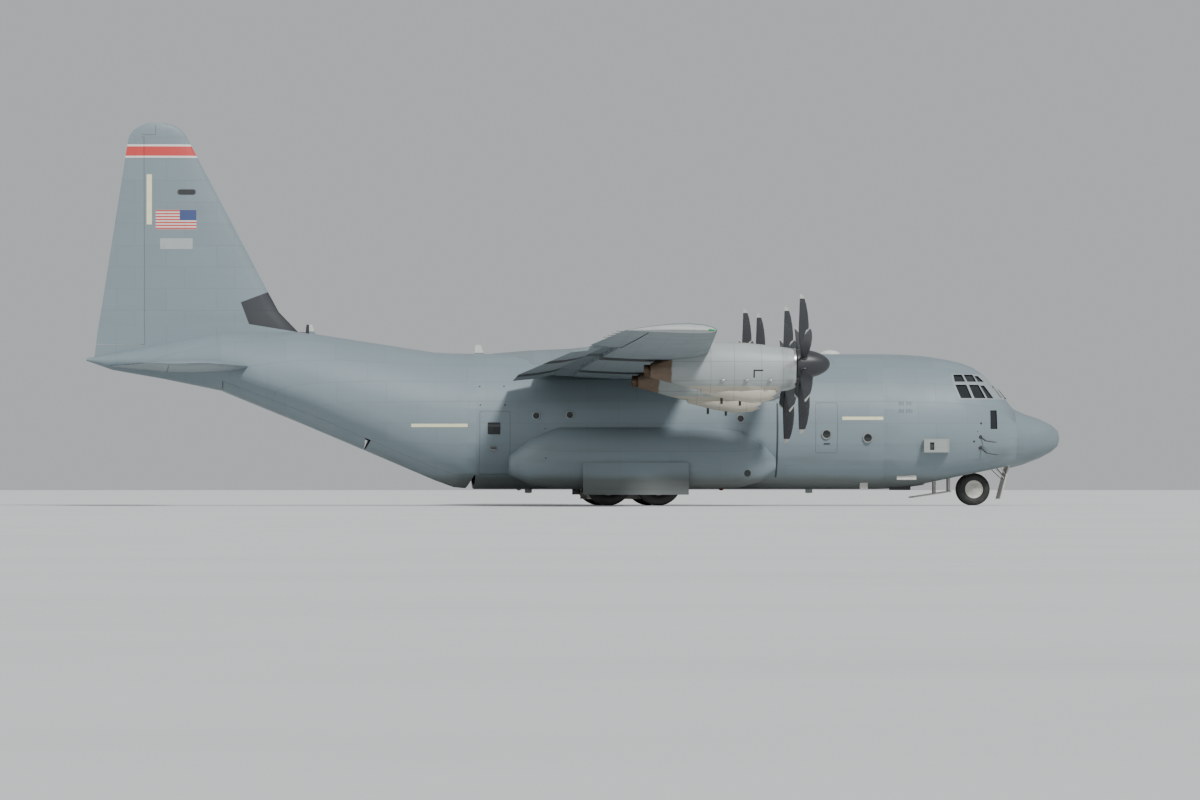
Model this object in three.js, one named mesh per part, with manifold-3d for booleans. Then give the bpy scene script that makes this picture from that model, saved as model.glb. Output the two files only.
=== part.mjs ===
// A four-engined turboprop transport aeroplane, standing on its landing gear, at half size.
// Sizes are millimetres of the full-size aeroplane, and MODEL_SCALE on the outer group halves them.
// +X is forward, +Y is the left wing and +Z is up, with the origin on the ground under the middle.
// A station is the distance aft of the nose, so X = NOSE_X - station.

import * as THREE from "three";
import { mergeVertices } from "three/addons/utils/BufferGeometryUtils.js";
import Module from "manifold-3d";

const wasm = await Module();
wasm.setup();

// Driving dimensions
const MODEL_SCALE = 0.5;
const LENGTH = 29790;
const NOSE_X = LENGTH / 2;
const SEAM = 0.6; // between pieces that are fastened face to face
const RUNNING_GAP = 12; // around pieces that move
const HINGE_GAP = 20; // round the nose of a hinged surface
const HINGE_STEPS = 8;
const AILERON_END_GAP = 26; // its slanted hinge line swings its ends sideways
const RAMP_GAP = 18; // round the cargo ramp and cargo door
const HULL_WALL = 120;
const FAR = 3000; // reaches past anything that is cut

// Fuselage breaks, as stations
const RADOME_END = 1450;
const NOSE_END = 5600;
const RAMP_HINGE_STATION = 18000;
const AFT_END = 25700;
const CREASE_STEPS = { crown: 7, side: 3, keel: 3 };

// Fuselage sections: station, crown height, half width and its height, chine half width and height,
// keel height, fullness of the upper quarters (1 is an ellipse, less is squarer)
const HULL_ROWS = [
  [0, 2110, 60, 2050, 42, 2008, 1990, 1],
  [60, 2300, 270, 2050, 190, 1880, 1810, 1],
  [250, 2470, 540, 2050, 380, 1760, 1640, 1],
  [600, 2640, 820, 2050, 590, 1640, 1450, 1],
  [1150, 2830, 1130, 2060, 830, 1480, 1240, 0.95],
  [RADOME_END, 2970, 1280, 2070, 950, 1400, 1160, 0.9],
  [1920, 3520, 1500, 2100, 1120, 1300, 1080, 0.83],
  [2370, 4020, 1690, 2160, 1260, 1220, 1000, 0.83],
  [2700, 4240, 1810, 2220, 1340, 1160, 940, 0.84],
  [3100, 4380, 1910, 2280, 1410, 1090, 860, 0.86],
  [3560, 4480, 2000, 2340, 1480, 1030, 760, 0.9],
  [4160, 4570, 2080, 2400, 1540, 980, 630, 0.95],
  [4900, 4620, 2140, 2440, 1590, 970, 530, 1],
  [NOSE_END, 4630, 2160, 2460, 1600, 980, 500, 1],
  [RAMP_HINGE_STATION, 4630, 2160, 2460, 1600, 980, 500, 1],
  [18600, 4640, 2150, 2470, 1590, 1010, 560, 1],
  [19200, 4670, 2130, 2520, 1570, 1200, 780, 1],
  [21400, 5010, 1900, 3000, 1430, 2130, 1720, 1],
  [23200, 5290, 1620, 3550, 1230, 2950, 2480, 1],
  [AFT_END, 5290, 1080, 4230, 850, 3900, 3500, 1],
  [27400, 4960, 700, 4350, 560, 4080, 3850, 1],
  [29000, 4640, 330, 4400, 260, 4220, 4130, 1],
  [LENGTH, 4480, 50, 4440, 35, 4420, 4410, 1],
];

// Wing sections: distance from the centre line, leading edge station, chord, height at the quarter
// chord, thickness as a share of the chord, twist in degrees
const WING_ROWS = [
  [0, 11300, 4880, 4200, 0.18, 3],
  [2200, 11300, 4880, 4200, 0.18, 3],
  [5590, 11300, 4880, 4348, 0.175, 3],
  [19900, 12083, 2628, 4974, 0.122, 0.1],
  [20130, 12180, 2330, 4984, 0.075, 0],
  [20205, 12420, 1700, 4987, 0.03, 0],
];
const WING_FRACTIONS = [0, 0.012, 0.05, 0.14, 0.3, 0.5, 0.7, 0.868, 1];
const WING_CAMBER = 0.02;
const CAMBER_PEAK = 0.4;
const EDGE_THICKNESS = 12;
const WING_BREAK = 5590;
const SPARS = [12420, 14450]; // stations of the front and rear spar where the wing crosses the cabin

// Fairing over the wing's middle: station, half width, top height
const HUMP_ROWS = [
  [10200, 420, 4640],
  [11300, 1250, 4765],
  [12500, 1450, 4800],
  [15000, 1450, 4790],
  [16300, 1200, 4735],
  [17400, 400, 4640],
];
const HUMP_BASE = 4050;

// Fin sections: height, leading edge station, trailing edge station, thickness
const FIN_ROWS = [
  [4400, 23400, 29560, 760],
  [5300, 23350, 29450, 720],
  [5900, 23930, 29350, 680],
  [6580, 24300, 29240, 640],
  [10730, 26480, 28590, 300],
  [11250, 26750, 28500, 240],
  [11450, 26900, 28350, 200],
  [11600, 27150, 28100, 130],
  [11660, 27400, 27900, 50],
];
const TAIL_FRACTIONS = [0, 0.02, 0.08, 0.22, 0.42, 0.65, 1];
const RUDDER_HINGE_STATION = 28080;
const RUDDER_SPACE = [4900, 11230]; // heights of the space that the fin leaves for it

// Tailplane sections: distance from the centre line, leading and trailing edge station, thickness
const TAILPLANE_ROWS = [
  [0, 24640, 29120, 520],
  [7700, 26230, 28050, 230],
  [7950, 26450, 27950, 150],
  [8030, 26750, 27750, 60],
];
const TAILPLANE_HEIGHT = 4230;
const ELEVATOR_HINGE_STATION = 27420;
const ELEVATOR_SPAN = [1000, 7650];
const TAIL_CARRY = [25800, 27200]; // stations between which the tailplane crosses the tail cone

// Movable surfaces on the wing's trailing edge
const AILERON_SPAN = [14150, 19850];
const AILERON_HINGE_FRACTION = 0.75;
const FLAP_SPANS = { inner_flap: [2230, 5560], outer_flap: [5620, 14130] };
const FLAP_ENDS = [20, 8]; // room beside each flap's inner and outer end
const FLAP_BRACKETS = { inner_flap: 4, outer_flap: 8 };
const BRACKET_WIDTH = 40;
const COVE_FRACTION = 0.765; // where the lower skin ends in front of the flap
const SHROUD_FRACTION = 0.885; // where the upper skin ends over the flap
const SHROUD_DEPTH = 0.0095; // share of the chord
const FLAP_NOSE_FRACTION = 0.868;
const FLAP_CHORD_SHARE = 0.287;
const FLAP_DROP = 145; // below the upper skin at the wing's root
const FLAP_ANGLE = 12;

// Nacelles: distance from the centre line and height of each thrust line
const NACELLE_AXES = [
  { number: 2, out: 4980, height: 3930 },
  { number: 1, out: 10160, height: 4180 },
];
// Nacelle sections about the thrust line: station, top, bottom, half width
const NACELLE_ROWS = [
  [9030, 430, -700, 470],
  [9200, 470, -770, 520],
  [9800, 550, -850, 590],
  [10500, 620, -880, 620],
  [11500, 650, -850, 620],
  [12400, 500, -640, 560],
  [13300, 0, -400, 330],
];
// Oil cooler duct under each nacelle: station, bottom below the thrust line, half width
const COOLER_ROWS = [
  [9560, -860, 150],
  [9640, -1010, 290],
  [9850, -1100, 350],
  [10300, -1150, 360],
  [11000, -1050, 330],
  [11800, -850, 230],
];
const COOLER_TOP = -560;
// Mouths of the oil cooler duct and of the engine's own intake: station, top, bottom, half width
const COOLER_MOUTH = [
  [9540, -840, -990, 250],
  [10350, -910, -1080, 290],
];
const INTAKE_MOUTH = { top: -465, bottom: -670, half: 330 };
const NACELLE_WALL = 60;
const ENGINE = { from: 9500, to: 11250, radius: 330, shaft: 100 };
const JET_PIPE = { radius: 150, height: -200, tail: 13450, wall: 20, depth: 250 };

// Propellers
const PROPELLER_STATION = 8790;
const SPINNER = { tip: 8000, base: 8999, radius: 440 };
const BLADE_COUNT = 6;
// Blade sections: radius, chord, thickness, pitch in degrees from the plane of rotation
const BLADE_ROWS = [
  [300, 200, 150, 70],
  [560, 300, 75, 62],
  [1050, 420, 45, 50],
  [1600, 400, 30, 42],
  [1960, 320, 18, 37],
  [2055, 170, 12, 36],
];

// Landing gear
const NOSE_GEAR = {
  station: 2670,
  radius: 495,
  width: 330,
  out: 280,
  axle: 50,
  foot: 930, // height at which the turning part leaves the leg
  post: 95,
  fork: 75,
};
const NOSE_BRACE = { station: 1800, height: 1180, radius: 45 };
const NOSE_DOOR = { from: 3380, to: 4580, half: 600, high: 450, low: 270, thickness: 38 }; // the rear one
const NOSE_DOOR_RODS = { out: 300, radius: 28, stations: [3420, 3860] };
const MAIN_GEAR = {
  stations: [12490, 14010],
  radius: 711,
  width: 500,
  out: 2175,
  strut: 1780,
  post: 95,
  axle: 62,
  cap: 110,
  beams: [[45, 1020, 1140], [60, 1500, 1560]], // half width, bottom and top
};
const WHEEL_FACE = 0.36; // height of a wheel's hub face, as a share of its width
const MAIN_WELL = { from: 11740, to: 14760, inner: 1600, outer: 2570, roof: 1870, wall: 80, liner: 60 };
const NOSE_BAY = { from: 1660, to: 4200, half: 660, roof: 1700, wall: 40 };

// Sponson sections: station, outer face, top, bottom
const SPONSON_ROWS = [
  [8900, 2080, 1500, 1050],
  [9350, 2420, 1950, 720],
  [10000, 2650, 2300, 540],
  [11000, 2650, 2400, 500],
  [15500, 2650, 2400, 500],
  [16400, 2380, 2050, 640],
  [17000, 2100, 1550, 950],
];
const SPONSON_INNER = 1500;

// Cargo hold
const FLOOR_TOP = 1030;
const FLOOR_BOTTOM = 900;
const RAMP_PIVOT = { station: 18060, height: 985, pin: 20 };
const RAMP_TRAVEL = 27.5;
const RAMP_END = 21320;
const RAMP_TOP_END = 21100;
const RAMP_TOP_HEIGHT = 2130;
const CARGO_DOOR = { from: 21345, to: 25640, thickness: 140 };
const DOOR_CEILING = [[CARGO_DOOR.from - 25, 2950], [25660, 4150]]; // station and height of its side edge
const DOOR_PIVOT = { station: 25620, height: 4050, pin: 25, arm: 600, boss: 765 };
// Half width of the rear opening: station, half width
const REAR_OPENING_ROWS = [
  [RAMP_HINGE_STATION, 1500],
  [21350, 1330],
  [25660, 740],
];

// Doors on the sides
const CREW_DOOR = { from: 3900, to: 4660, bottom: 1018, top: 2250, frontGap: 32, bottomGap: 46 };
// The crew door's hinge line follows the skin: its height, and how far out it is at each end
const CREW_HINGE = { height: 1075, front: 1557, rear: 1635.5, pin: 7 };
const CREW_STEPS = [[1300, 1640], [1560, 1760], [1820, 1860]]; // height, and how far out the skin is
const PARA_DOOR = { from: 16980, to: 17900, bottom: 950, top: 2860 };

const SENSOR_HOUSING = {
  from: 3600,
  to: 4390,
  skin: 1750,
  face: 2230,
  bottom: 1620,
  top: 2010,
  hole: { from: 4080, to: 4210, bottom: 1690, top: 1920, depth: 70 },
};
// Aerials on the crown: first and last station, height above the crown
const AERIALS = { centre: [17650, 17960, 270], aft: [22800, 23120, 290] };
const AERIAL_WIDTH = 40;
const CROWN_DOME = { station: 7060, length: 660, width: 420, height: 150 };

// Flight deck
const DECK = { from: 1750, to: 5400, top: 2080, bottom: 2000, bulkhead: 80 };
const SEAT = {
  out: 520,
  from: 2950,
  to: 3450,
  half: 240,
  bottom: 2420,
  top: 2540,
  stand: 120,
  back: 230,
  reach: 3620,
  head: 3180,
};
const INSTRUMENT_PANEL = {
  outline: [[2150, DECK.top - 10], [2330, DECK.top - 10], [2420, 3020], [2100, 3080], [2080, 3000]],
  half: 1000,
};
// Blocks: stations, distances from the centre line, heights
const PEDESTAL = [2300, 2900, -160, 160, DECK.top - 10, 2650];
const ENTRY = { from: 3850, section: [720, 1500, 985, 1045] };
const DOORWAY = [500, 1250, 1046, 2850];
const GLASS = { inset: 36, thickness: 24, frame: 35, from: 1490, to: 3500, bottom: 2250, top: 4070 };
// Side panes: front station, rear station and height of the lower edge, then of the upper edge
const SIDE_PANES = [
  [2080, 2300, 2330, 2090, 2300, 2900],
  [2170, 2370, 3270, 2450, 2580, 3660],
  [2430, 2790, 3270, 2640, 2950, 3680],
  [2870, 3220, 3270, 3025, 3376, 3680],
  [2440, 2640, 3775, 2620, 2740, 3950],
  [2692, 2980, 3775, 2794, 3085, 3990],
  [3050, 3382, 3775, 3139, 3407, 3990],
];
const SIDE_PANE_START = 620;
// Front panes: inner and outer distance from the centre line at the sill, at the top, sill, top height
const FRONT_PANES = [
  [50, 480, 50, 440, 3290, 3650],
  [540, 940, 500, 850, 3290, 3640],
  [260, 760, 240, 700, 3010, 3190],
];
const FRONT_PANE_REACH = 2450;

// Finishes
const finish = (color, roughness, metalness = 0.1) => ({ color, roughness, metalness });
const HULL_GREY = finish(0x8c9ba0, 0.6);
const WING_GREY = finish(0x7f8d93, 0.6);
const PALE_GREY = finish(0xa9afb0, 0.55);
const WELL_PALE = finish(0xc9c8bd, 0.6);
const DARK_GREY = finish(0x33363a, 0.5);
const TYRE_BLACK = finish(0x1c1c1d, 0.85, 0);
const STEEL = finish(0x9a9c9c, 0.35, 0.8);
const GLASS_TINT = finish(0x2c3a40, 0.12);
const CABIN_GREY = finish(0x7d8078, 0.75);

const aircraft = new THREE.Group();
aircraft.scale.setScalar(MODEL_SCALE);

// Solids

function solidFrom(geometry) {
  const plain = geometry.index ? geometry.toNonIndexed() : geometry.clone();
  plain.deleteAttribute("normal");
  plain.deleteAttribute("uv");
  const merged = mergeVertices(plain, 1e-3);
  const corners = [];
  for (let i = 0; i < merged.index.count; i += 3) {
    const [a, b, c] = [0, 1, 2].map((k) => merged.index.getX(i + k));
    if (a !== b && b !== c && c !== a) corners.push(a, b, c);
  }
  const mesh = new wasm.Mesh({
    numProp: 3,
    vertProperties: merged.attributes.position.array,
    triVerts: new Uint32Array(corners),
  });
  return new wasm.Manifold(mesh);
}

function geometryFrom(solid) {
  const mesh = solid.getMesh();
  const geometry = new THREE.BufferGeometry();
  geometry.setAttribute("position", new THREE.BufferAttribute(mesh.vertProperties, mesh.numProp));
  geometry.setIndex(new THREE.BufferAttribute(mesh.triVerts, 1));
  geometry.computeVertexNormals();
  return geometry;
}

const join = (...solids) => solids.reduce((sum, solid) => sum.add(solid));

// The biggest body of a solid that a cut has left in several.
function biggest(solid) {
  const bodies = solid.decompose();
  return bodies.reduce((best, body) => (body.volume() > best.volume() ? body : best));
}

function mirrored(solid) {
  const geometry = geometryFrom(solid);
  geometry.scale(1, -1, 1);
  const corners = geometry.index.array;
  for (let i = 0; i < corners.length; i += 3) {
    [corners[i + 1], corners[i + 2]] = [corners[i + 2], corners[i + 1]];
  }
  return solidFrom(geometry);
}

const both = (solid) => solid.add(mirrored(solid));

// A closed skin through rings of points, with a fan from the middle of each end ring.
function loft(rings) {
  const count = rings[0].length;
  const points = rings.flat();
  const faces = [];
  for (let start = 0; start + count < points.length; start += count)
    for (let i = 0; i < count; i++) {
      const [a, b] = [start + i, start + ((i + 1) % count)];
      faces.push(a, b, b + count, a, b + count, a + count);
    }
  const close = (start, reversed) => {
    const middle = new THREE.Vector3();
    points.slice(start, start + count).forEach((p) => middle.addScaledVector(p, 1 / count));
    const centre = points.push(middle) - 1;
    for (let i = 0; i < count; i++) {
      const [a, b] = [start + i, start + ((i + 1) % count)];
      faces.push(...(reversed ? [centre, b, a] : [centre, a, b]));
    }
  };
  const lastRing = (rings.length - 1) * count;
  close(0, true);
  close(lastRing, false);
  const geometry = new THREE.BufferGeometry().setFromPoints(points);
  const volume = signedVolume(points, faces);
  if (volume < 0) faces.reverse();
  geometry.setIndex(faces);
  return solidFrom(geometry);
}

function signedVolume(points, faces) {
  let volume = 0;
  for (let i = 0; i < faces.length; i += 3) {
    const [a, b, c] = [0, 1, 2].map((k) => points[faces[i + k]]);
    volume += a.dot(new THREE.Vector3().crossVectors(b, c));
  }
  return volume;
}

const stationX = (station) => NOSE_X - station;

function block(fromStation, toStation, fromY, toY, fromZ, toZ) {
  const size = [toStation - fromStation, toY - fromY, toZ - fromZ];
  const geometry = new THREE.BoxGeometry(...size);
  geometry.translate(stationX((fromStation + toStation) / 2), (fromY + toY) / 2, (fromZ + toZ) / 2);
  return solidFrom(geometry);
}

// Axes on which a drawn outline lies, and the axis along which it is drawn out
const PRISM_FRAMES = {
  x: [new THREE.Vector3(0, 1, 0), new THREE.Vector3(0, 0, 1), new THREE.Vector3(1, 0, 0)],
  y: [new THREE.Vector3(-1, 0, 0), new THREE.Vector3(0, 0, 1), new THREE.Vector3(0, 1, 0)],
  z: [new THREE.Vector3(-1, 0, 0), new THREE.Vector3(0, -1, 0), new THREE.Vector3(0, 0, 1)],
};

// A prism whose outline is given as [y, z] along x, [station, z] along y, or [station, y] along z.
function prism(axis, outline, from, to) {
  const drawn = outline.map(([a, b]) => new THREE.Vector2(a, axis === "z" ? -b : b));
  const shape = new THREE.Shape(drawn);
  const geometry = new THREE.ExtrudeGeometry(shape, { depth: to - from, bevelEnabled: false });
  geometry.translate(axis === "x" ? 0 : -NOSE_X, 0, from);
  geometry.applyMatrix4(new THREE.Matrix4().makeBasis(...PRISM_FRAMES[axis]));
  return solidFrom(geometry);
}

function rod(from, to, radius, sides = 12) {
  const [a, b] = [from, to].map(([station, y, z]) => new THREE.Vector3(stationX(station), y, z));
  const along = b.clone().sub(a);
  const geometry = new THREE.CylinderGeometry(radius, radius, along.length(), sides);
  const turn = new THREE.Quaternion().setFromUnitVectors(new THREE.Vector3(0, 1, 0), along.normalize());
  geometry.applyQuaternion(turn);
  geometry.translate(...a.add(b).multiplyScalar(0.5).toArray());
  return solidFrom(geometry);
}

// A solid of revolution about Y from [radius, y] points, which close on themselves or on the axis.
function revolved(profile, segments) {
  return solidFrom(new THREE.LatheGeometry(profile.map(([r, y]) => new THREE.Vector2(r, y)), segments));
}

function addMesh(name, solid, look, parent = aircraft) {
  const material = new THREE.MeshStandardMaterial({ ...look, flatShading: true });
  const mesh = new THREE.Mesh(geometryFrom(solid), material);
  mesh.name = name;
  parent.add(mesh);
  return mesh;
}

// A left piece and its mirror image on the right.
function addPair(name, solid, look) {
  addMesh(`${name}_left`, solid, look);
  addMesh(`${name}_right`, solid, look).scale.y = -1;
}

// A table's row at a key between its rows.
function rowAt(rows, key) {
  const found = rows.findIndex((row) => row[0] >= key);
  const upper = Math.max(found < 0 ? rows.length - 1 : found, 1);
  const [a, b] = [rows[upper - 1], rows[upper]];
  const share = (key - a[0]) / (b[0] - a[0]);
  return a.map((value, i) => value + (b[i] - value) * share);
}

const keysBetween = (rows, from, to) => [
  from,
  ...rows.map((row) => row[0]).filter((key) => key > from + 1 && key < to - 1),
  to,
];

// Fuselage

function curvePoints(points, steps) {
  const curve = new THREE.QuadraticBezierCurve(...points.map(([y, z]) => new THREE.Vector2(y, z)));
  return curve.getPoints(steps).slice(1).map((p) => [p.x, p.y]);
}

// One fuselage section: a quarter ellipse to the widest line, a side to the chine and a shallow keel.
function hullRing(station, inset) {
  const [, crown, half, wide, chineHalf, chine, keel, fullness] = rowAt(HULL_ROWS, station);
  const width = half - inset;
  const edge = [chineHalf - 0.75 * inset, chine + 0.6 * inset];
  const steps = CREASE_STEPS.crown;
  const upper = Array.from({ length: steps + 1 }, (_, i) => {
    const angle = (i / steps) * (Math.PI / 2);
    const rise = i < steps ? Math.cos(angle) ** fullness : 0;
    return [width * Math.sin(angle) ** fullness, wide + (crown - inset - wide) * rise];
  });
  const bulge = [width, edge[1] + 0.42 * (wide - edge[1])];
  const side = curvePoints([[width, wide], bulge, edge], CREASE_STEPS.side);
  const bottom = curvePoints([edge, [0.63 * edge[0], keel + inset], [0, keel + inset]], CREASE_STEPS.keel);
  const left = [...upper, ...side, ...bottom];
  const right = left.slice(1, -1).reverse().map(([y, z]) => [-y, z]);
  return [...left, ...right].map(([y, z]) => new THREE.Vector3(stationX(station), y, z));
}

// The fuselage between two stations, cut from the loft through the table's whole sections.
function hull(from, to, inset = 0) {
  const stations = HULL_ROWS.map((row) => row[0]);
  const first = stations.findLastIndex((station) => station <= from);
  const last = stations.findIndex((station) => station >= to);
  const whole = loft(stations.slice(first, last + 1).map((station) => hullRing(station, inset)));
  return whole.intersect(block(from, to, -FAR, FAR, -FAR, 2 * FAR));
}

const hullGrown = hull(500, LENGTH - 5, -SEAM);

function hullShell(from, to) {
  return hull(from + SEAM / 2, to - SEAM / 2).subtract(hull(from - 10, to + 10, HULL_WALL));
}

// Wing

// The four-digit airfoil's half thickness at a share of the chord.
const airfoilSpread = (f) =>
  0.2969 * Math.sqrt(f) - 0.126 * f - 0.3516 * f ** 2 + 0.2843 * f ** 3 - 0.1036 * f ** 4;

function wingSurface(y, fraction, side, grow = 0) {
  const [, leading, chord, height, share, twist] = rowAt(WING_ROWS, Math.abs(y));
  const f = fraction;
  const half = 5 * share * chord * airfoilSpread(f) + (EDGE_THICKNESS / 2) * f + grow;
  const p = CAMBER_PEAK;
  const arc = f < p ? (2 * p * f - f * f) / p ** 2 : (1 - 2 * p + 2 * p * f - f * f) / (1 - p) ** 2;
  const up = WING_CAMBER * chord * arc + (f > 0 ? side * half : 0);
  const aft = (f - 0.25) * chord + grow * (2 * f - 1);
  const angle = THREE.MathUtils.degToRad(twist);
  return {
    station: leading + 0.25 * chord + aft * Math.cos(angle) + up * Math.sin(angle),
    z: height - aft * Math.sin(angle) + up * Math.cos(angle),
  };
}

const ringAt = (y, outline) => outline.map(({ station, z }) => new THREE.Vector3(stationX(station), y, z));

function wingRing(y, grow) {
  const upper = WING_FRACTIONS.map((f) => wingSurface(y, f, 1, grow));
  const lower = WING_FRACTIONS.slice(1).reverse().map((f) => wingSurface(y, f, -1, grow));
  return ringAt(y, [...upper, ...lower]);
}

// The wing between two distances from the centre line, cut from the loft through the table's sections.
function wing(from, to, grow = 0) {
  const outwards = WING_ROWS.slice(1).map((row) => row[0]);
  const spans = [...outwards.slice().reverse().map((y) => -y), ...outwards];
  const whole = loft(spans.map((y) => wingRing(y, grow)));
  return whole.intersect(block(0, LENGTH, from, to, 0, 2 * FAR));
}

function humpRing([station, half, top], grow) {
  const base = HUMP_BASE - grow;
  const steps = 8;
  return Array.from({ length: steps + 1 }, (_, i) => {
    const angle = (i / steps) * Math.PI;
    const [y, z] = [(half + grow) * Math.cos(angle), base + (top + grow - base) * Math.sin(angle)];
    return new THREE.Vector3(stationX(station), y, z);
  });
}

const hump = (grow = 0) => loft(HUMP_ROWS.map((row) => humpRing(row, grow)));

// The space that a trailing edge flap and its shroud leave in the wing.
function flapCove([from, to]) {
  const under = (y) => {
    const [, , chord] = rowAt(WING_ROWS, y);
    const roof = (f) => {
      const skin = wingSurface(y, f, 1);
      return { station: skin.station, z: skin.z - SHROUD_DEPTH * chord };
    };
    const front = roof(COVE_FRACTION);
    const rear = roof(1);
    return ringAt(y, [
      { station: front.station, z: front.z - FAR / 3 },
      front,
      roof(0.83),
      rear,
      { station: rear.station + 200, z: rear.z - FAR / 3 },
    ]);
  };
  const behind = (y) => {
    const start = wingSurface(y, SHROUD_FRACTION, 1).station;
    const { z } = wingSurface(y, SHROUD_FRACTION, 1);
    return ringAt(y, [
      { station: start, z: z - FAR / 4 },
      { station: start, z: z + FAR / 4 },
      { station: start + FAR / 2, z: z + FAR / 4 },
      { station: start + FAR / 2, z: z - FAR / 4 },
    ]);
  };
  return join(loft([under(from), under(to)]), loft([behind(from), behind(to)]));
}

function flapPlace(y) {
  const [, , chord] = rowAt(WING_ROWS, y);
  const skin = wingSurface(y, FLAP_NOSE_FRACTION, 1);
  const scale = chord / rowAt(WING_ROWS, 0)[2];
  return { station: skin.station, z: skin.z - FLAP_DROP * scale, chord: FLAP_CHORD_SHARE * chord };
}

function flapRing(y) {
  const { station, z, chord } = flapPlace(y);
  const angle = THREE.MathUtils.degToRad(FLAP_ANGLE);
  const point = (f, side) => {
    const up = side * (0.6 * chord * airfoilSpread(f) + (EDGE_THICKNESS / 2) * f);
    const aft = f * chord;
    return {
      station: station + aft * Math.cos(angle) + up * Math.sin(angle),
      z: z - aft * Math.sin(angle) + up * Math.cos(angle),
    };
  };
  const fractions = [0, 0.03, 0.12, 0.3, 0.6, 1];
  const upper = fractions.map((f) => point(f, 1));
  const lower = fractions.slice(1).reverse().map((f) => point(f, -1));
  return ringAt(y, [...upper, ...lower]);
}

// A flap's carriage: a thin rib from the wing's rear spar to the flap.
function flapBracket(y, [from, to]) {
  const { station, z, chord } = flapPlace(y);
  const [top, foot] = [1, -1].map((side) => wingSurface(y, COVE_FRACTION, side));
  const [first, last] = [from, to].map((end) => wingSurface(end, COVE_FRACTION, 1).station);
  const wall = THREE.MathUtils.mapLinear(y - BRACKET_WIDTH / 2, from, to, first, last) + 2 * SEAM;
  const shroud = SHROUD_DEPTH * rowAt(WING_ROWS, y)[2];
  const outline = [
    [wall, top.z - shroud - 40],
    [wall, foot.z + 30],
    [station + 0.25 * chord, z - 0.25 * chord * 0.21 - 20],
    [station + 0.1 * chord, z],
  ];
  return prism("y", outline, y - BRACKET_WIDTH / 2, y + BRACKET_WIDTH / 2);
}

function flap(name) {
  const [from, to] = FLAP_SPANS[name];
  const count = FLAP_BRACKETS[name];
  const surface = loft([from, to].map(flapRing));
  const brackets = Array.from({ length: count }, (_, i) => from + ((i + 0.5) / count) * (to - from));
  return join(surface, ...brackets.map((y) => flapBracket(y, [from - FLAP_ENDS[0], to + FLAP_ENDS[1]])));
}

// Pins at the two ends of a hinge line, reaching into the gaps beside the piece that turns.
function hingePins(from, to, reach, radius) {
  const [a, b] = [from, to].map((p) => new THREE.Vector3(...p));
  const along = b.clone().sub(a).normalize();
  const pin = (end, side) => {
    const tip = end.clone().addScaledVector(along, side * reach);
    const root = end.clone().addScaledVector(along, -side * 30);
    return rod(root.toArray(), tip.toArray(), radius, 10);
  };
  return join(pin(a, -1), pin(b, 1));
}

// Hinged surfaces: the nose is an arc about the hinge line, and the skins run straight to the rear edge.

function hingedOutline(hinge, radius, rear, edge) {
  const nose = Array.from({ length: HINGE_STEPS + 1 }, (_, i) => {
    const angle = Math.PI / 2 + (i / HINGE_STEPS) * Math.PI;
    return { station: hinge.station + radius * Math.cos(angle), z: hinge.z + radius * Math.sin(angle) };
  });
  const end = [-1, 1].map((side) => ({ station: rear.station, z: rear.z + (side * edge) / 2 }));
  return [...nose, ...end];
}

function hingeCutOutline(hinge, radius) {
  const nose = hingedOutline(hinge, radius + HINGE_GAP, hinge, 0).slice(0, -2);
  return [
    { station: hinge.station, z: hinge.z + FAR / 3 },
    ...nose,
    { station: hinge.station, z: hinge.z - FAR / 3 },
    { station: hinge.station + FAR, z: hinge.z - FAR / 3 },
    { station: hinge.station + FAR, z: hinge.z + FAR / 3 },
  ];
}

function aileronSection(y) {
  const top = wingSurface(y, AILERON_HINGE_FRACTION, 1);
  const foot = wingSurface(y, AILERON_HINGE_FRACTION, -1);
  const [upper, lower] = [wingSurface(y, 1, 1), wingSurface(y, 1, -1)];
  return {
    hinge: { station: (top.station + foot.station) / 2, z: (top.z + foot.z) / 2 },
    radius: (top.z - foot.z) / 2,
    rear: { station: (upper.station + lower.station) / 2, z: (upper.z + lower.z) / 2 },
  };
}

function aileronRing(y) {
  const { hinge, radius, rear } = aileronSection(y);
  return ringAt(y, hingedOutline(hinge, radius, rear, EDGE_THICKNESS));
}

function aileronCutRing(y) {
  const { hinge, radius } = aileronSection(y);
  return ringAt(y, hingeCutOutline(hinge, radius));
}

// Tail surfaces are symmetrical sections between a leading and a trailing edge.

function tailSection(leading, trailing, thickness) {
  const chord = trailing - leading;
  return TAIL_FRACTIONS.map((f) => {
    const shape = 1.8 * Math.sqrt(f) * (1 - f) ** 0.75 + 0.02 * f;
    const half = f < 1 ? (thickness / 2) * Math.min(1, shape) : EDGE_THICKNESS / 2;
    return [leading + f * chord, f > 0 ? half : 0];
  });
}

function tailHalf(leading, trailing, thickness, station) {
  const rows = tailSection(leading, trailing, thickness);
  return rowAt(rows, station)[1];
}

function tailRing(leading, trailing, thickness, place) {
  const rows = tailSection(leading, trailing, thickness);
  const upper = rows.map(([station, half]) => place(station, half));
  const lower = rows.slice(1).reverse().map(([station, half]) => place(station, -half));
  return [...upper, ...lower];
}

const onFin = (z) => (station, half) => new THREE.Vector3(stationX(station), half, z);
const onTailplane = (y) => (station, half) =>
  new THREE.Vector3(stationX(station), y, TAILPLANE_HEIGHT + half);

const fin = () => loft(FIN_ROWS.map(([z, ...row]) => tailRing(...row, onFin(z))));

function tailplane(grow = 0) {
  const rows = [...TAILPLANE_ROWS.slice(1).reverse().map(([y, ...row]) => [-y, ...row]), ...TAILPLANE_ROWS];
  return loft(
    rows.map(([y, leading, trailing, thickness]) =>
      tailRing(leading - grow, trailing + grow, thickness + 2 * grow, onTailplane(y)),
    ),
  );
}

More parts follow.
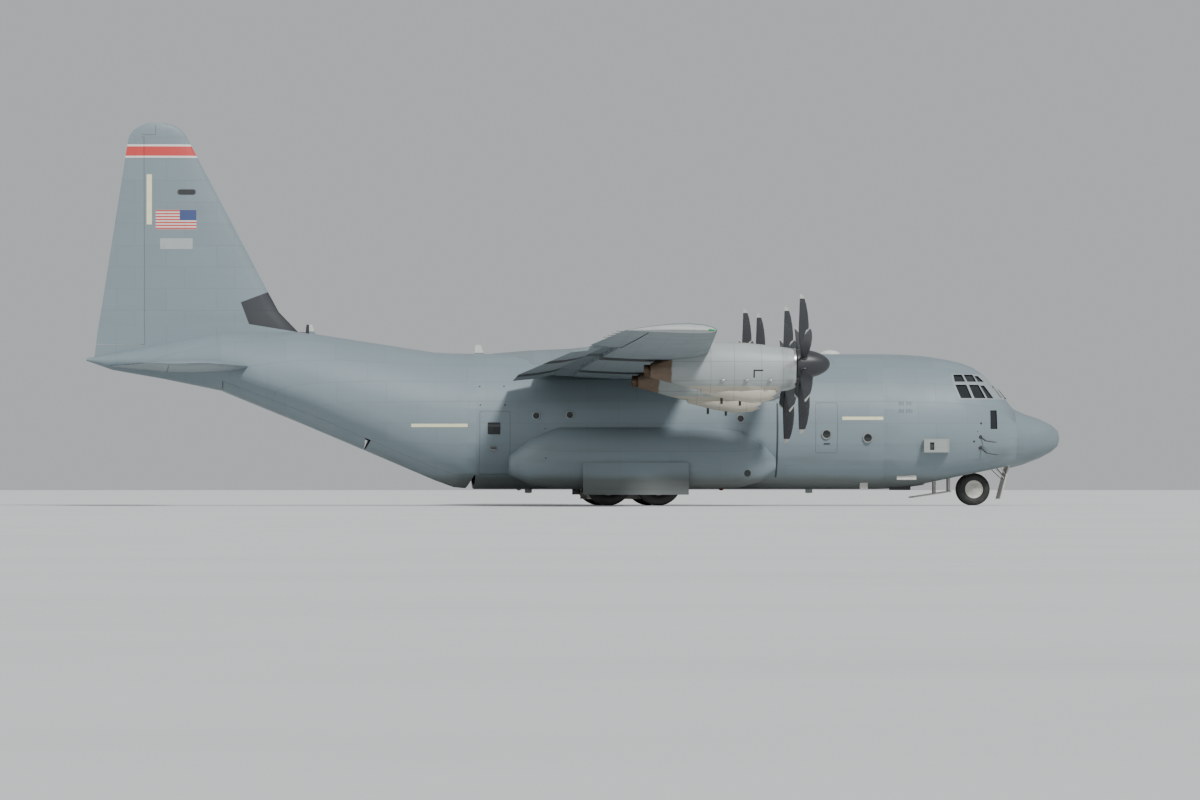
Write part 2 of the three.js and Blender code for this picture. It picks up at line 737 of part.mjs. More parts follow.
function rudderRings([bottom, top], makeOutline) {
  return keysBetween(FIN_ROWS, bottom, top).map((z) => {
    const [, leading, trailing, thickness] = rowAt(FIN_ROWS, z);
    const radius = tailHalf(leading, trailing, thickness, RUDDER_HINGE_STATION);
    return makeOutline(radius, trailing).map(({ station, z: half }) => onFin(z)(station, half));
  });
}

function elevatorRings([from, to], makeOutline) {
  return [from, to].map((y) => {
    const [, leading, trailing, thickness] = rowAt(TAILPLANE_ROWS, y);
    const radius = tailHalf(leading, trailing, thickness, ELEVATOR_HINGE_STATION);
    return makeOutline(radius, trailing).map(({ station, z: half }) => onTailplane(y)(station, half));
  });
}

const surfaceOn = (hingeStation) => (radius, trailing) =>
  hingedOutline({ station: hingeStation, z: 0 }, radius, { station: trailing, z: 0 }, EDGE_THICKNESS);
const cutOn = (hingeStation) => (radius) => hingeCutOutline({ station: hingeStation, z: 0 }, radius);

// Nacelles, engines and propellers, about a thrust line at y = 0, z = 0

function ovalRing([station, top, bottom, half], inset = 0, steps = 12) {
  const [middle, height] = [(top + bottom) / 2, (top - bottom) / 2 - inset];
  return Array.from({ length: steps }, (_, i) => {
    const angle = (i / steps) * 2 * Math.PI;
    const [c, s] = [Math.cos(angle), Math.sin(angle)];
    const y = (half - inset) * Math.sign(c) * Math.abs(c) ** 0.85;
    const z = middle + height * Math.sign(s) * Math.abs(s) ** 0.85;
    return new THREE.Vector3(stationX(station), y, z);
  });
}

function nacelleShell() {
  const outer = loft(NACELLE_ROWS.map((row) => ovalRing(row)));
  const [front, rear] = [NACELLE_ROWS[0][0], NACELLE_ROWS.at(-1)[0]];
  const inside = keysBetween(NACELLE_ROWS, front + NACELLE_WALL, rear - NACELLE_WALL);
  const inner = loft(inside.map((station) => ovalRing(rowAt(NACELLE_ROWS, station), NACELLE_WALL)));
  const cooler = loft(COOLER_ROWS.map(([s, bottom, half]) => ovalRing([s, COOLER_TOP, bottom, half])));
  const coolerMouth = loft(COOLER_MOUTH.map((row) => ovalRing(row)));
  const { top, bottom, half } = INTAKE_MOUTH;
  const intake = loft([front - 20, front + NACELLE_WALL + 20].map((s) => ovalRing([s, top, bottom, half])));
  const shaft = rod([front - 50, 0, 0], [front + 200, 0, 0], ENGINE.shaft + SEAM);
  const { radius, height } = JET_PIPE;
  const exhaust = rod([rear - 400, 0, height], [rear + 50, 0, height], radius + SEAM);
  return join(outer.subtract(inner), cooler.subtract(outer.subtract(inner)).subtract(inner))
    .subtract(coolerMouth)
    .subtract(intake)
    .subtract(shaft)
    .subtract(exhaust);
}

function engine() {
  const { from, to } = ENGINE;
  const { radius, height, tail, wall, depth } = JET_PIPE;
  const core = rod([from, 0, 0], [to, 0, 0], ENGINE.radius, 16);
  const shaft = rod([SPINNER.base + SEAM, 0, 0], [from + 10, 0, 0], ENGINE.shaft);
  const pipe = rod([to - 10, 0, height], [tail, 0, height], radius);
  const bore = rod([tail - depth, 0, height], [tail + 10, 0, height], radius - wall);
  return join(core, shaft, pipe).subtract(bore);
}

function bladeRing([radius, chord, thickness, pitch]) {
  const angle = THREE.MathUtils.degToRad(pitch);
  const outline = [[-0.5, 0], [-0.25, 0.5], [0.15, 0.42], [0.5, 0], [0.15, -0.42], [-0.25, -0.5]];
  return outline.map(([along, across]) => {
    const [u, v] = [along * chord, across * thickness];
    const x = u * Math.sin(angle) - v * Math.cos(angle);
    const y = u * Math.cos(angle) + v * Math.sin(angle);
    return new THREE.Vector3(x, y, radius);
  });
}

// A spinner and its blades, with the plane of the blades at x = 0.
function propeller() {
  const length = SPINNER.base - SPINNER.tip;
  const steps = 5;
  const profile = Array.from({ length: steps + 1 }, (_, i) => {
    const along = (i / steps) * length;
    const radius = SPINNER.radius * Math.sqrt(1 - (1 - i / steps) ** 2) ** 0.9;
    return [radius, SPINNER.base - PROPELLER_STATION - length + along];
  });
  profile.push([0, SPINNER.base - PROPELLER_STATION]);
  const geometry = new THREE.LatheGeometry(profile.map(([r, y]) => new THREE.Vector2(r, y)), 18);
  geometry.rotateZ(Math.PI / 2);
  const spinner = solidFrom(geometry);
  const blade = loft(BLADE_ROWS.map(bladeRing));
  const blades = Array.from({ length: BLADE_COUNT }, (_, i) => blade.rotate([(i * 360) / BLADE_COUNT, 0, 0]));
  return join(spinner, ...blades);
}

// Landing gear

// A wheel with its tyre about Y: rim and hub on each face, and a bore for its axle where it has one.
function wheel({ radius, width }, bore) {
  const side = [
    [bore, WHEEL_FACE * width],
    [0.3 * radius, WHEEL_FACE * width],
    [0.5 * radius, 0.24 * width],
    [0.56 * radius, 0.4 * width],
    [0.74 * radius, 0.5 * width],
    [0.94 * radius, 0.41 * width],
    [radius, 0.16 * width],
  ];
  const other = side.slice().reverse().map(([r, y]) => [r, -y]);
  const outline = [...side, ...other];
  return revolved((bore > 0 ? [...outline, side[0]] : outline).reverse(), 24);
}

function sponsonRing([station, outer, top, bottom], grow = 0) {
  const steps = 10;
  const [middle, half] = [(top + bottom) / 2, (top - bottom) / 2 + grow];
  const reach = outer + grow - SPONSON_INNER;
  return Array.from({ length: steps + 1 }, (_, i) => {
    const angle = Math.PI / 2 - (i / steps) * Math.PI;
    const [c, s] = [i % steps ? Math.cos(angle) : 0, Math.sin(angle)];
    const y = SPONSON_INNER + reach * c ** 0.42;
    return new THREE.Vector3(stationX(station), y, middle + half * Math.sign(s) * Math.abs(s) ** 0.8);
  });
}

const sponsonBody = (grow = 0) => loft(SPONSON_ROWS.map((row) => sponsonRing(row, grow)));

const wellBlock = (inner, outer, roof, grow, wall) =>
  block(MAIN_WELL.from - wall - grow, MAIN_WELL.to + wall + grow, inner, outer, -50, roof + grow);

function wellNotch(grow = 0) {
  const { inner, outer, roof, wall, liner } = MAIN_WELL;
  return wellBlock(inner - liner - grow, outer, roof + wall, grow, wall);
}

function sponson() {
  const skin = join(hull(MAIN_WELL.from - 400, MAIN_WELL.to + 400), sponsonBody());
  const lined = wellNotch().intersect(skin);
  const outside = sponsonBody().subtract(hullGrown);
  const cavity = wellBlock(MAIN_WELL.inner, MAIN_WELL.outer, MAIN_WELL.roof, 0, 0);
  const opening = block(MAIN_WELL.from, MAIN_WELL.to, MAIN_WELL.outer - 10, FAR, -50, 1220);
  return join(outside, lined).subtract(cavity).subtract(opening);
}

function mainLeg() {
  const { stations, strut, out, width, radius: axleHeight, post, axle, cap, beams } = MAIN_GEAR;
  const capAt = out + WHEEL_FACE * width;
  const top = MAIN_WELL.roof - SEAM;
  const posts = stations.map((s) => rod([s, strut, axleHeight - 90], [s, strut, top], post, 14));
  const axles = stations.map((s) => rod([s, strut, axleHeight], [s, capAt + 40, axleHeight], axle, 14));
  const caps = stations.map((s) => rod([s, capAt + SEAM, axleHeight], [s, capAt + 41, axleHeight], cap));
  const tied = beams.map(([half, low, high]) => block(...stations, strut - half, strut + half, low, high));
  return join(...posts, ...axles, ...caps, ...tied);
}

function noseFork() {
  const { station, radius, axle, foot, fork } = NOSE_GEAR;
  const post = rod([station, 0, radius], [station, 0, foot - SEAM], fork, 14);
  const sleeve = rod([station, -100, radius], [station, 100, radius], axle + 45, 16);
  const bore = rod([station, -FAR / 4, radius], [station, FAR / 4, radius], axle + 2, 16);
  const link = block(station - 20, station + 130, -35, 35, radius + 40, foot - 140);
  return join(post, sleeve, link).subtract(bore);
}

function noseLeg() {
  const { station, foot, post } = NOSE_GEAR;
  const { roof } = NOSE_BAY;
  const { station: end, height, radius } = NOSE_BRACE;
  const leg = rod([station, 0, foot], [station, 0, roof - SEAM], post, 14);
  const brace = rod([station, 0, height], [end, 0, roof - 60], radius, 10);
  const seat = block(end - 80, end + 80, -60, 60, roof - 120, roof - SEAM);
  return join(leg, brace, seat);
}

function noseWheels() {
  const { station, radius, out, axle } = NOSE_GEAR;
  const one = wheel(NOSE_GEAR, 0);
  const [x, z] = [stationX(station), radius];
  return join(one.translate([x, out, z]), one.translate([x, -out, z]),
    rod([station, -out, radius], [station, out, radius], axle, 16));
}

// Nose

function paneCutters() {
  const sides = SIDE_PANES.map(([f0, r0, z0, f1, r1, z1]) =>
    prism("y", [[f0, z0], [r0, z0], [r1, z1], [f1, z1]], SIDE_PANE_START, FAR));
  const fronts = FRONT_PANES.map(([i0, o0, i1, o1, z0, z1]) =>
    prism("x", [[i0, z0], [o0, z0], [o1, z1], [i1, z1]], stationX(FRONT_PANE_REACH), stationX(RADOME_END)));
  return both(join(...sides, ...fronts));
}

// A housing for sensors on the right side, with a dark opening near its rear end.
function sensorHousing() {
  const { from, to, skin, face, bottom, top, hole } = SENSOR_HOUSING;
  const front = [[from + 190, face + 10], [from + 50, face - 50], [from, face - 160], [from, skin]];
  const opening = block(hole.from, hole.to, face - hole.depth, FAR, hole.bottom, hole.top);
  return mirrored(prism("z", [[to, skin], [to, face], ...front], bottom, top).subtract(opening));
}

function noseSection() {
  const outer = join(hull(RADOME_END + SEAM / 2, NOSE_END - SEAM / 2), sensorHousing());
  const inner = hull(RADOME_END + 150, NOSE_END + 10, HULL_WALL);
  const { from, to, bottom, top, frame } = GLASS;
  const glassBand = block(from - 20, to + 10, -FAR, FAR, bottom - 10, top + 10);
  const pocket = hull(from - 20, to + 10, frame).intersect(glassBand);
  const bay = NOSE_BAY.wall + SEAM;
  const bayHalf = NOSE_BAY.half + bay;
  const bayHole = block(NOSE_BAY.from - bay, NOSE_BAY.to + bay, -bayHalf, bayHalf, 0, NOSE_BAY.roof + bay);
  const crewHole = block(CREW_DOOR.from, CREW_DOOR.to, 800, FAR, CREW_DOOR.bottom, CREW_DOOR.top);
  return outer.subtract(inner).subtract(pocket).subtract(paneCutters()).subtract(bayHole).subtract(crewHole);
}

function cockpitGlass() {
  const { inset, thickness, from, to, bottom, top } = GLASS;
  const band = block(from, to, -FAR, FAR, bottom, top);
  const outer = hull(from, to, inset).intersect(band);
  return biggest(outer.subtract(hull(from - 10, to + 10, inset + thickness)));
}

function seat(y) {
  const { from, to, half, bottom, top, stand, back, reach, head } = SEAT;
  const cushion = block(from, to, y - half, y + half, bottom, top);
  const outline = [[to - 70, bottom + 20], [to + 50, bottom + 20], [reach, head], [reach - 120, head]];
  const rest = prism("y", outline, y - back, y + back);
  const foot = block(from + 100, to - 100, y - stand, y + stand, DECK.top - 10, bottom + 10);
  return join(cushion, rest, foot);
}

function flightDeck() {
  const cabin = hull(RADOME_END + 250, NOSE_END - 20, HULL_WALL + SEAM);
  const floor = block(DECK.from, DECK.to + 10, -FAR, FAR, DECK.bottom, DECK.top);
  const stair = block(ENTRY.from, DECK.to, 450, FAR, 1300, DECK.top + 10);
  const end = DECK.to + DECK.bulkhead;
  const bulkhead = block(DECK.to, end, -FAR, FAR, 0, 5000).subtract(block(DECK.to - 5, end + 5, ...DOORWAY));
  const entry = block(ENTRY.from, DECK.to + 10, ...ENTRY.section);
  const { outline, half } = INSTRUMENT_PANEL;
  const panel = prism("y", outline, -half, half);
  const pedestal = block(...PEDESTAL);
  const seats = [SEAT.out, -SEAT.out].map(seat);
  return biggest(join(floor.subtract(stair), bulkhead, entry, panel, pedestal, ...seats).intersect(cabin));
}

function noseBay() {
  const { from, to, half, roof, wall } = NOSE_BAY;
  const outer = block(from - wall, to + wall, -half - wall, half + wall, 0, roof + wall);
  const inner = block(from, to, -half, half, -10, roof);
  return outer.subtract(inner).intersect(hull(1500, 5000));
}

function noseDoorRear() {
  const { from, to, half, high, low, thickness } = NOSE_DOOR;
  const { out, radius, stations } = NOSE_DOOR_RODS;
  const top = NOSE_BAY.roof - SEAM;
  const slope = (high - low) / (to - from);
  const plate = prism("y", [[from, high], [to, low], [to, low - thickness], [from, high - thickness]], -half, half);
  const rods = stations.flatMap((station) => {
    const foot = high - thickness / 2 - slope * (station - from);
    return [-out, out].map((y) => rod([station, y, foot], [station, y, top], radius, 10));
  });
  return join(plate, ...rods);
}

function crewDoor() {
  const { from, to, bottom, top, frontGap, bottomGap } = CREW_DOOR;
  const gap = RUNNING_GAP;
  const panel = hull(from - 200, to + 200).subtract(hull(from - 210, to + 210, HULL_WALL))
    .intersect(block(from + frontGap, to - gap, 800, FAR, bottom + bottomGap, top - gap));
  const { height, front, rear, pin } = CREW_HINGE;
  const hingeAt = (station) => [station, THREE.MathUtils.mapLinear(station, from, to, front, rear), height];
  const frontPin = rod(hingeAt(from + 2 * SEAM), hingeAt(from + frontGap + 30), pin, 8);
  const rearPin = rod(hingeAt(to - gap - 30), hingeAt(to - 2 * SEAM), pin, 8);
  const steps = CREW_STEPS.map(([z, skin]) => block(from + 120, to - 120, skin - 190, skin, z, z + 40));
  return join(panel, frontPin, rearPin, ...steps);
}

// Middle and rear fuselage

const carryBlock = (grow) => block(SPARS[0] - grow, SPARS[1] + grow, -FAR, FAR, 3500, 5200);

// A swept blade that stands on the crown.
function aerial([from, to, height]) {
  const [foot, head] = [from, to].map((s) => rowAt(HULL_ROWS, s)[1]);
  const outline = [[from, foot - 40], [from + 120, foot + height], [to - 30, foot + height], [to, head - 40]];
  return prism("y", outline, -AERIAL_WIDTH / 2, AERIAL_WIDTH / 2);
}

// A low dome on the crown of the cabin.
function crownDome() {
  const { station, length, width, height } = CROWN_DOME;
  const ball = new THREE.SphereGeometry(1, 18, 10).scale(length / 2, width / 2, height);
  return solidFrom(ball).translate([stationX(station), 0, rowAt(HULL_ROWS, station)[1] - 20]);
}

function centreFuselage() {
  const carry = join(wing(-WING_BREAK, WING_BREAK, SEAM), hump(SEAM)).intersect(carryBlock(SEAM));
  const { from, to, bottom, top } = PARA_DOOR;
  const paraHole = both(block(from, to, 1200, FAR, bottom, top));
  const inside = hull(NOSE_END - 10, RAMP_HINGE_STATION + 10, HULL_WALL);
  const fittings = join(aerial(AERIALS.centre), crownDome()).subtract(inside);
  return join(hullShell(NOSE_END, RAMP_HINGE_STATION), fittings)
    .subtract(carry)
    .subtract(both(wellNotch(SEAM)))
    .subtract(paraHole);
}

function paraDoor() {
  const { from, to, bottom, top } = PARA_DOOR;
  return hull(from - 200, to + 50).subtract(hull(from - 210, to + 60, HULL_WALL))
    .intersect(block(from + SEAM, to - SEAM, 1200, FAR, bottom + SEAM, top - SEAM));
}

function cargoFloor() {
  const [from, to] = [NOSE_END - 100, RAMP_HINGE_STATION - SEAM];
  const inside = hull(from - 10, to + 10, HULL_WALL + SEAM);
  return block(from, to, -FAR, FAR, FLOOR_BOTTOM, FLOOR_TOP).intersect(inside);
}

// The plan of the rear opening, widened by a gap.
function openingPlan(gap, from, to, bottom, top) {
  const edge = keysBetween(REAR_OPENING_ROWS, from, to).map((s) => [s, rowAt(REAR_OPENING_ROWS, s)[1] + gap]);
  const outline = [...edge, ...edge.slice().reverse().map(([s, y]) => [s, -y])];
  return prism("z", outline, bottom, top);
}

function cargoDoorSide(gap) {
  const { from, to } = CARGO_DOOR;
  const [a, b] = DOOR_CEILING;
  const outline = [[from - gap, 0], [from - gap, a[1] + gap], [to + gap, b[1] + gap], [to + gap, 0]];
  return prism("y", outline, -FAR, FAR);
}

function rampSide(gap) {
  const bevel = Math.tan(THREE.MathUtils.degToRad(RAMP_TRAVEL));
  const start = RAMP_HINGE_STATION + RAMP_GAP - gap;
  const bevelTop = RAMP_PIVOT.height - 25;
  const outline = [
    [start, FLOOR_TOP + gap],
    [start, bevelTop],
    [start + (bevelTop - 400) * bevel, 400],
    [RAMP_END + 40, 400],
    [RAMP_END, 1705],
    [RAMP_TOP_END, RAMP_TOP_HEIGHT + gap],
  ];
  return prism("y", outline, -FAR, FAR);
}

function aftFuselage() {
  const rampHole = prism("y", [
    [RAMP_HINGE_STATION - 10, 0],
    [RAMP_HINGE_STATION - 10, FLOOR_TOP + RAMP_GAP],
    [RAMP_TOP_END, RAMP_TOP_HEIGHT + RAMP_GAP],
    [CARGO_DOOR.from, RAMP_TOP_HEIGHT + RAMP_GAP + 90],
    [CARGO_DOOR.from, 0],
  ], -FAR, FAR).intersect(openingPlan(RAMP_GAP, RAMP_HINGE_STATION - 10, CARGO_DOOR.from, 0, 3000));
  const doorHole = cargoDoorSide(RAMP_GAP).intersect(
    openingPlan(RAMP_GAP, CARGO_DOOR.from - RAMP_GAP, CARGO_DOOR.to + RAMP_GAP, 0, 5000));
  const { station, height, boss } = DOOR_PIVOT;
  const bosses = both(block(station - 40, station + 40, boss, 1200, height - 40, height + 40)
    .intersect(hull(RAMP_HINGE_STATION + SEAM, AFT_END - SEAM / 2)));
  const shell = join(hullShell(RAMP_HINGE_STATION, AFT_END), bosses, aerial(AERIALS.aft));
  return biggest(shell.subtract(rampHole).subtract(doorHole));
}

function cargoRamp() {
  const from = RAMP_HINGE_STATION + RAMP_GAP;
  const plan = openingPlan(0, from, RAMP_END, 0, FAR);
  const wedge = hull(from, RAMP_END).intersect(plan).intersect(rampSide(0));
  const { station, height, pin } = RAMP_PIVOT;
  const half = rowAt(REAR_OPENING_ROWS, station + pin)[1];
  return join(wedge, hingePins([station, -half, height], [station, half, height], RAMP_GAP - 2 * SEAM, pin));
}

function cargoDoor() {
  const { from, to, thickness } = CARGO_DOOR;
  const panel = biggest(hull(from, to).subtract(hull(from - 10, to + 10, thickness))
    .intersect(openingPlan(0, from, to, 0, 5000)).intersect(cargoDoorSide(0)));
  const { station, height, pin, arm, boss } = DOOR_PIVOT;
  const outline = [[to - 90, 3700], [to, 3700], [station + 45, height + 40], [station - 45, height + 40]];
  const carrier = prism("y", outline, arm - 40, arm);
  const axle = rod([station, arm - 10, height], [station, boss - SEAM, height], pin);
  return join(panel, both(join(carrier, axle)));
}

function tailCone() {
  const carry = tailplane(SEAM).intersect(
    block(TAIL_CARRY[0] - SEAM, TAIL_CARRY[1] + SEAM, -FAR, FAR, 3500, 5000));
  return hull(AFT_END + SEAM / 2, LENGTH).subtract(carry);
}

// Assembly

addMesh("radome", hull(0, RADOME_END - SEAM / 2), DARK_GREY);
addMesh("nose_section", noseSection(), HULL_GREY);
addMesh("cockpit_glass", cockpitGlass(), GLASS_TINT);
addMesh("flight_deck", flightDeck(), CABIN_GREY);
addMesh("nose_bay", noseBay(), WELL_PALE);
addMesh("crew_door", crewDoor(), HULL_GREY);
addMesh("centre_fuselage", centreFuselage(), HULL_GREY);
addMesh("cargo_floor", cargoFloor(), CABIN_GREY);
addMesh("aft_fuselage", aftFuselage(), HULL_GREY);
addMesh("cargo_ramp", cargoRamp(), HULL_GREY);
addMesh("cargo_door", cargoDoor(), HULL_GREY);
addMesh("tail_cone", tailCone(), HULL_GREY);
addPair("para_door", paraDoor(), HULL_GREY);
addPair("sponson", sponson(), HULL_GREY);

// Gear doors
const outerGearDoor = prism("x", [[2640, 1300], [2700, 1300], [2760, 330], [2715, 330]],
  stationX(MAIN_WELL.to + 40), stationX(MAIN_WELL.from - 140)).subtract(sponsonBody(SEAM));
addPair("outer_gear_door", biggest(outerGearDoor), HULL_GREY);
const innerGearDoor = block(MAIN_WELL.from + 260, MAIN_WELL.to - 140,
  MAIN_WELL.inner + SEAM, MAIN_WELL.inner + 40, 200, 640);
addPair("inner_gear_door", innerGearDoor, WELL_PALE);
const noseDoorFront = prism("y", [[1580, 1250], [1620, 1250], [1900, 200], [1860, 200]], -600, 600);
addMesh("nose_door_front", biggest(noseDoorFront.subtract(hullGrown)), WELL_PALE);
addMesh("nose_door_rear", noseDoorRear(), WELL_PALE);

// Wing and what it carries
const outsideCabin = hullGrown.subtract(carryBlock(0));
const coveFor = (name) => flapCove([FLAP_SPANS[name][0] - FLAP_ENDS[0], FLAP_SPANS[name][1] + FLAP_ENDS[1]]);
const middleWing = join(wing(-WING_BREAK + SEAM / 2, WING_BREAK - SEAM / 2), hump());
const centreWing = middleWing.subtract(outsideCabin).subtract(both(coveFor("inner_flap")));
addMesh("centre_wing", biggest(centreWing), WING_GREY);
const [aileronRoot, aileronTip] = AILERON_SPAN;
const aileronHole = loft([aileronRoot - AILERON_END_GAP, aileronTip + AILERON_END_GAP].map(aileronCutRing));
const outerWing = wing(WING_BREAK + SEAM / 2, WING_ROWS.at(-1)[0]).subtract(coveFor("outer_flap"));
addPair("outer_wing", biggest(outerWing.subtract(aileronHole)), WING_GREY);
const aileronEnds = AILERON_SPAN.map((y) => {
  const { station, z } = aileronSection(y).hinge;
  return [station, y, z];
});
const aileronPins = hingePins(...aileronEnds, AILERON_END_GAP - 1.4, 12);
const aileron = join(loft(AILERON_SPAN.map(aileronRing)), aileronPins);
addPair("aileron", aileron, WING_GREY);
for (const name of Object.keys(FLAP_SPANS)) addPair(name, flap(name), WING_GREY);

// Engines, from the left wing's outer one to the right wing's outer one
const shell = nacelleShell();
const wingForNacelles = wing(FAR / 3, 12000, SEAM);
const enginePiece = engine();
const propellerPiece = propeller();
for (const { number, out, height } of NACELLE_AXES) {
  const nacelle = biggest(shell.translate([0, out, height]).subtract(wingForNacelles));
  const motor = enginePiece.translate([0, out, height]);
  addMesh(`nacelle_${number}`, nacelle, PALE_GREY);
  addMesh(`nacelle_${5 - number}`, nacelle, PALE_GREY).scale.y = -1;
  addMesh(`engine_${number}`, motor, STEEL);
  addMesh(`engine_${5 - number}`, motor, STEEL).scale.y = -1;
  for (const [id, side] of [[number, 1], [5 - number, -1]])
    addMesh(`propeller_${id}`, propellerPiece, DARK_GREY)
      .position.set(stationX(PROPELLER_STATION), side * out, height);
}

// Tail
const [rudderFoot, rudderHead] = RUDDER_SPACE;
const rudderHole = loft(rudderRings(RUDDER_SPACE, cutOn(RUDDER_HINGE_STATION)));
addMesh("fin", biggest(fin().subtract(hullGrown).subtract(rudderHole)), HULL_GREY);
const rudderEnds = [rudderFoot + RUNNING_GAP, rudderHead - RUNNING_GAP];
const rudderBlade = loft(rudderRings(rudderEnds, surfaceOn(RUDDER_HINGE_STATION)));
const rudderPins = hingePins(...rudderEnds.map((z) => [RUDDER_HINGE_STATION, 0, z]), RUNNING_GAP - SEAM, 20);
addMesh("rudder", join(rudderBlade, rudderPins), HULL_GREY);
const [elevatorRoot, elevatorTip] = ELEVATOR_SPAN;
const elevatorSpace = [elevatorRoot - RUNNING_GAP, elevatorTip + RUNNING_GAP];
const elevatorHole = loft(elevatorRings(elevatorSpace, cutOn(ELEVATOR_HINGE_STATION)));
const tailOutside = hullGrown.subtract(block(...TAIL_CARRY, -FAR, FAR, 3500, 5000));
addMesh("tailplane", biggest(tailplane().subtract(tailOutside).subtract(both(elevatorHole))), HULL_GREY);
const elevatorPins = hingePins(...ELEVATOR_SPAN.map((y) => [ELEVATOR_HINGE_STATION, y, TAILPLANE_HEIGHT]),
  RUNNING_GAP - 2 * SEAM, 15);
const elevatorBlade = loft(elevatorRings(ELEVATOR_SPAN, surfaceOn(ELEVATOR_HINGE_STATION)));
addPair("elevator", join(elevatorBlade, elevatorPins), HULL_GREY);

// Landing gear
addMesh("nose_leg", noseLeg(), WELL_PALE);
addMesh("nose_fork", noseFork(), WELL_PALE);
addMesh("nose_wheels", noseWheels(), TYRE_BLACK);
addPair("main_leg", mainLeg(), WELL_PALE);
const mainWheel = wheel(MAIN_GEAR, 64);
MAIN_GEAR.stations.forEach((station, i) => {
  for (const [name, side] of [["left", 1], ["right", -1]])
    addMesh(`main_wheel_${name}_${i ? "rear" : "front"}`, mainWheel, TYRE_BLACK)
      .position.set(stationX(station), side * MAIN_GEAR.out, MAIN_GEAR.radius);
});

export default aircraft;
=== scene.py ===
"""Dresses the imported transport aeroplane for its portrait.

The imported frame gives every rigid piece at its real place.  This script gives those pieces their
finishes, replaces the propellers and wheels with finer ones, adds the small parts that ride on them,
and sets up a plain studio with a camera near the floor.

Sizes are metres of the full-size aeroplane.  A station is the distance aft of the nose, a side is the
distance to the left of the centre line and a height is measured from the ground.  spot() turns the
three into the half-size frame that every Blender object lies in.
"""

from __future__ import annotations

import logging
import math
from dataclasses import dataclass
from enum import Enum
from typing import Callable, Iterable, Sequence

import bpy
from mathutils import Matrix, Vector

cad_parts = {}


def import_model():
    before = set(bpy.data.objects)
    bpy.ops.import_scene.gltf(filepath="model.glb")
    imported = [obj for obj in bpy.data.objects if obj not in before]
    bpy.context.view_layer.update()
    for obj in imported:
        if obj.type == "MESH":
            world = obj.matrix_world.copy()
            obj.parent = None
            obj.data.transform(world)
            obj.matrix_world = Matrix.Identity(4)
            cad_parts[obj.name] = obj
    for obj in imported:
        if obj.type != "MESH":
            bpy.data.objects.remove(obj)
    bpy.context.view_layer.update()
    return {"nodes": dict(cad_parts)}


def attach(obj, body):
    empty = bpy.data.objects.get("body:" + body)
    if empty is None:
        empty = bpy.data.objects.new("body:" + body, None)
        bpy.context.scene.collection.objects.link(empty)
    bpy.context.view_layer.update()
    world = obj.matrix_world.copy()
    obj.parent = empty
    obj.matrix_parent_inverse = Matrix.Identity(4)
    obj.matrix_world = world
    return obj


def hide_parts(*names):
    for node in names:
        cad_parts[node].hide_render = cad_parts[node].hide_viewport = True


log = logging.getLogger("aeroplane")

MODEL_SCALE = 0.5
NOSE_X = 14.895

# Name, distance out and height of the two thrust lines on each side
THRUST_LINES = (("inner", 4.98, 3.93), ("outer", 10.16, 4.18))
MAIN_WHEELS = (("front", 12.49), ("rear", 14.01))
MAIN_RADIUS = 0.711
NOSE_GEAR = 2.67
NOSE_RADIUS = 0.495

Colour = tuple[float, float, float]
Place = tuple[float, float, float]
Pair = tuple[float, float]
Span = tuple[float, float, float, float]
Piece = bpy.types.Object
Finish = bpy.types.Material
Socket = bpy.types.NodeSocket
Value = float | Socket


def spot(station: float, side: float, height: float) -> Vector:
    """The point in Blender's metres of a full-size station, side and height."""
    return Vector((NOSE_X - station, side, height)) * MODEL_SCALE


class Side(Enum):
    """The two sides of the aeroplane, by the sign of their Y."""

    LEFT = 1
    RIGHT = -1

    @property
    def word(self) -> str:
        """The side's name as CAD nodes spell it."""
        return self.name.lower()


class Axis(Enum):
    """A direction of the frame in which a round piece points."""

    X = Vector((1, 0, 0))
    Y = Vector((0, 1, 0))
    Z = Vector((0, 0, 1))


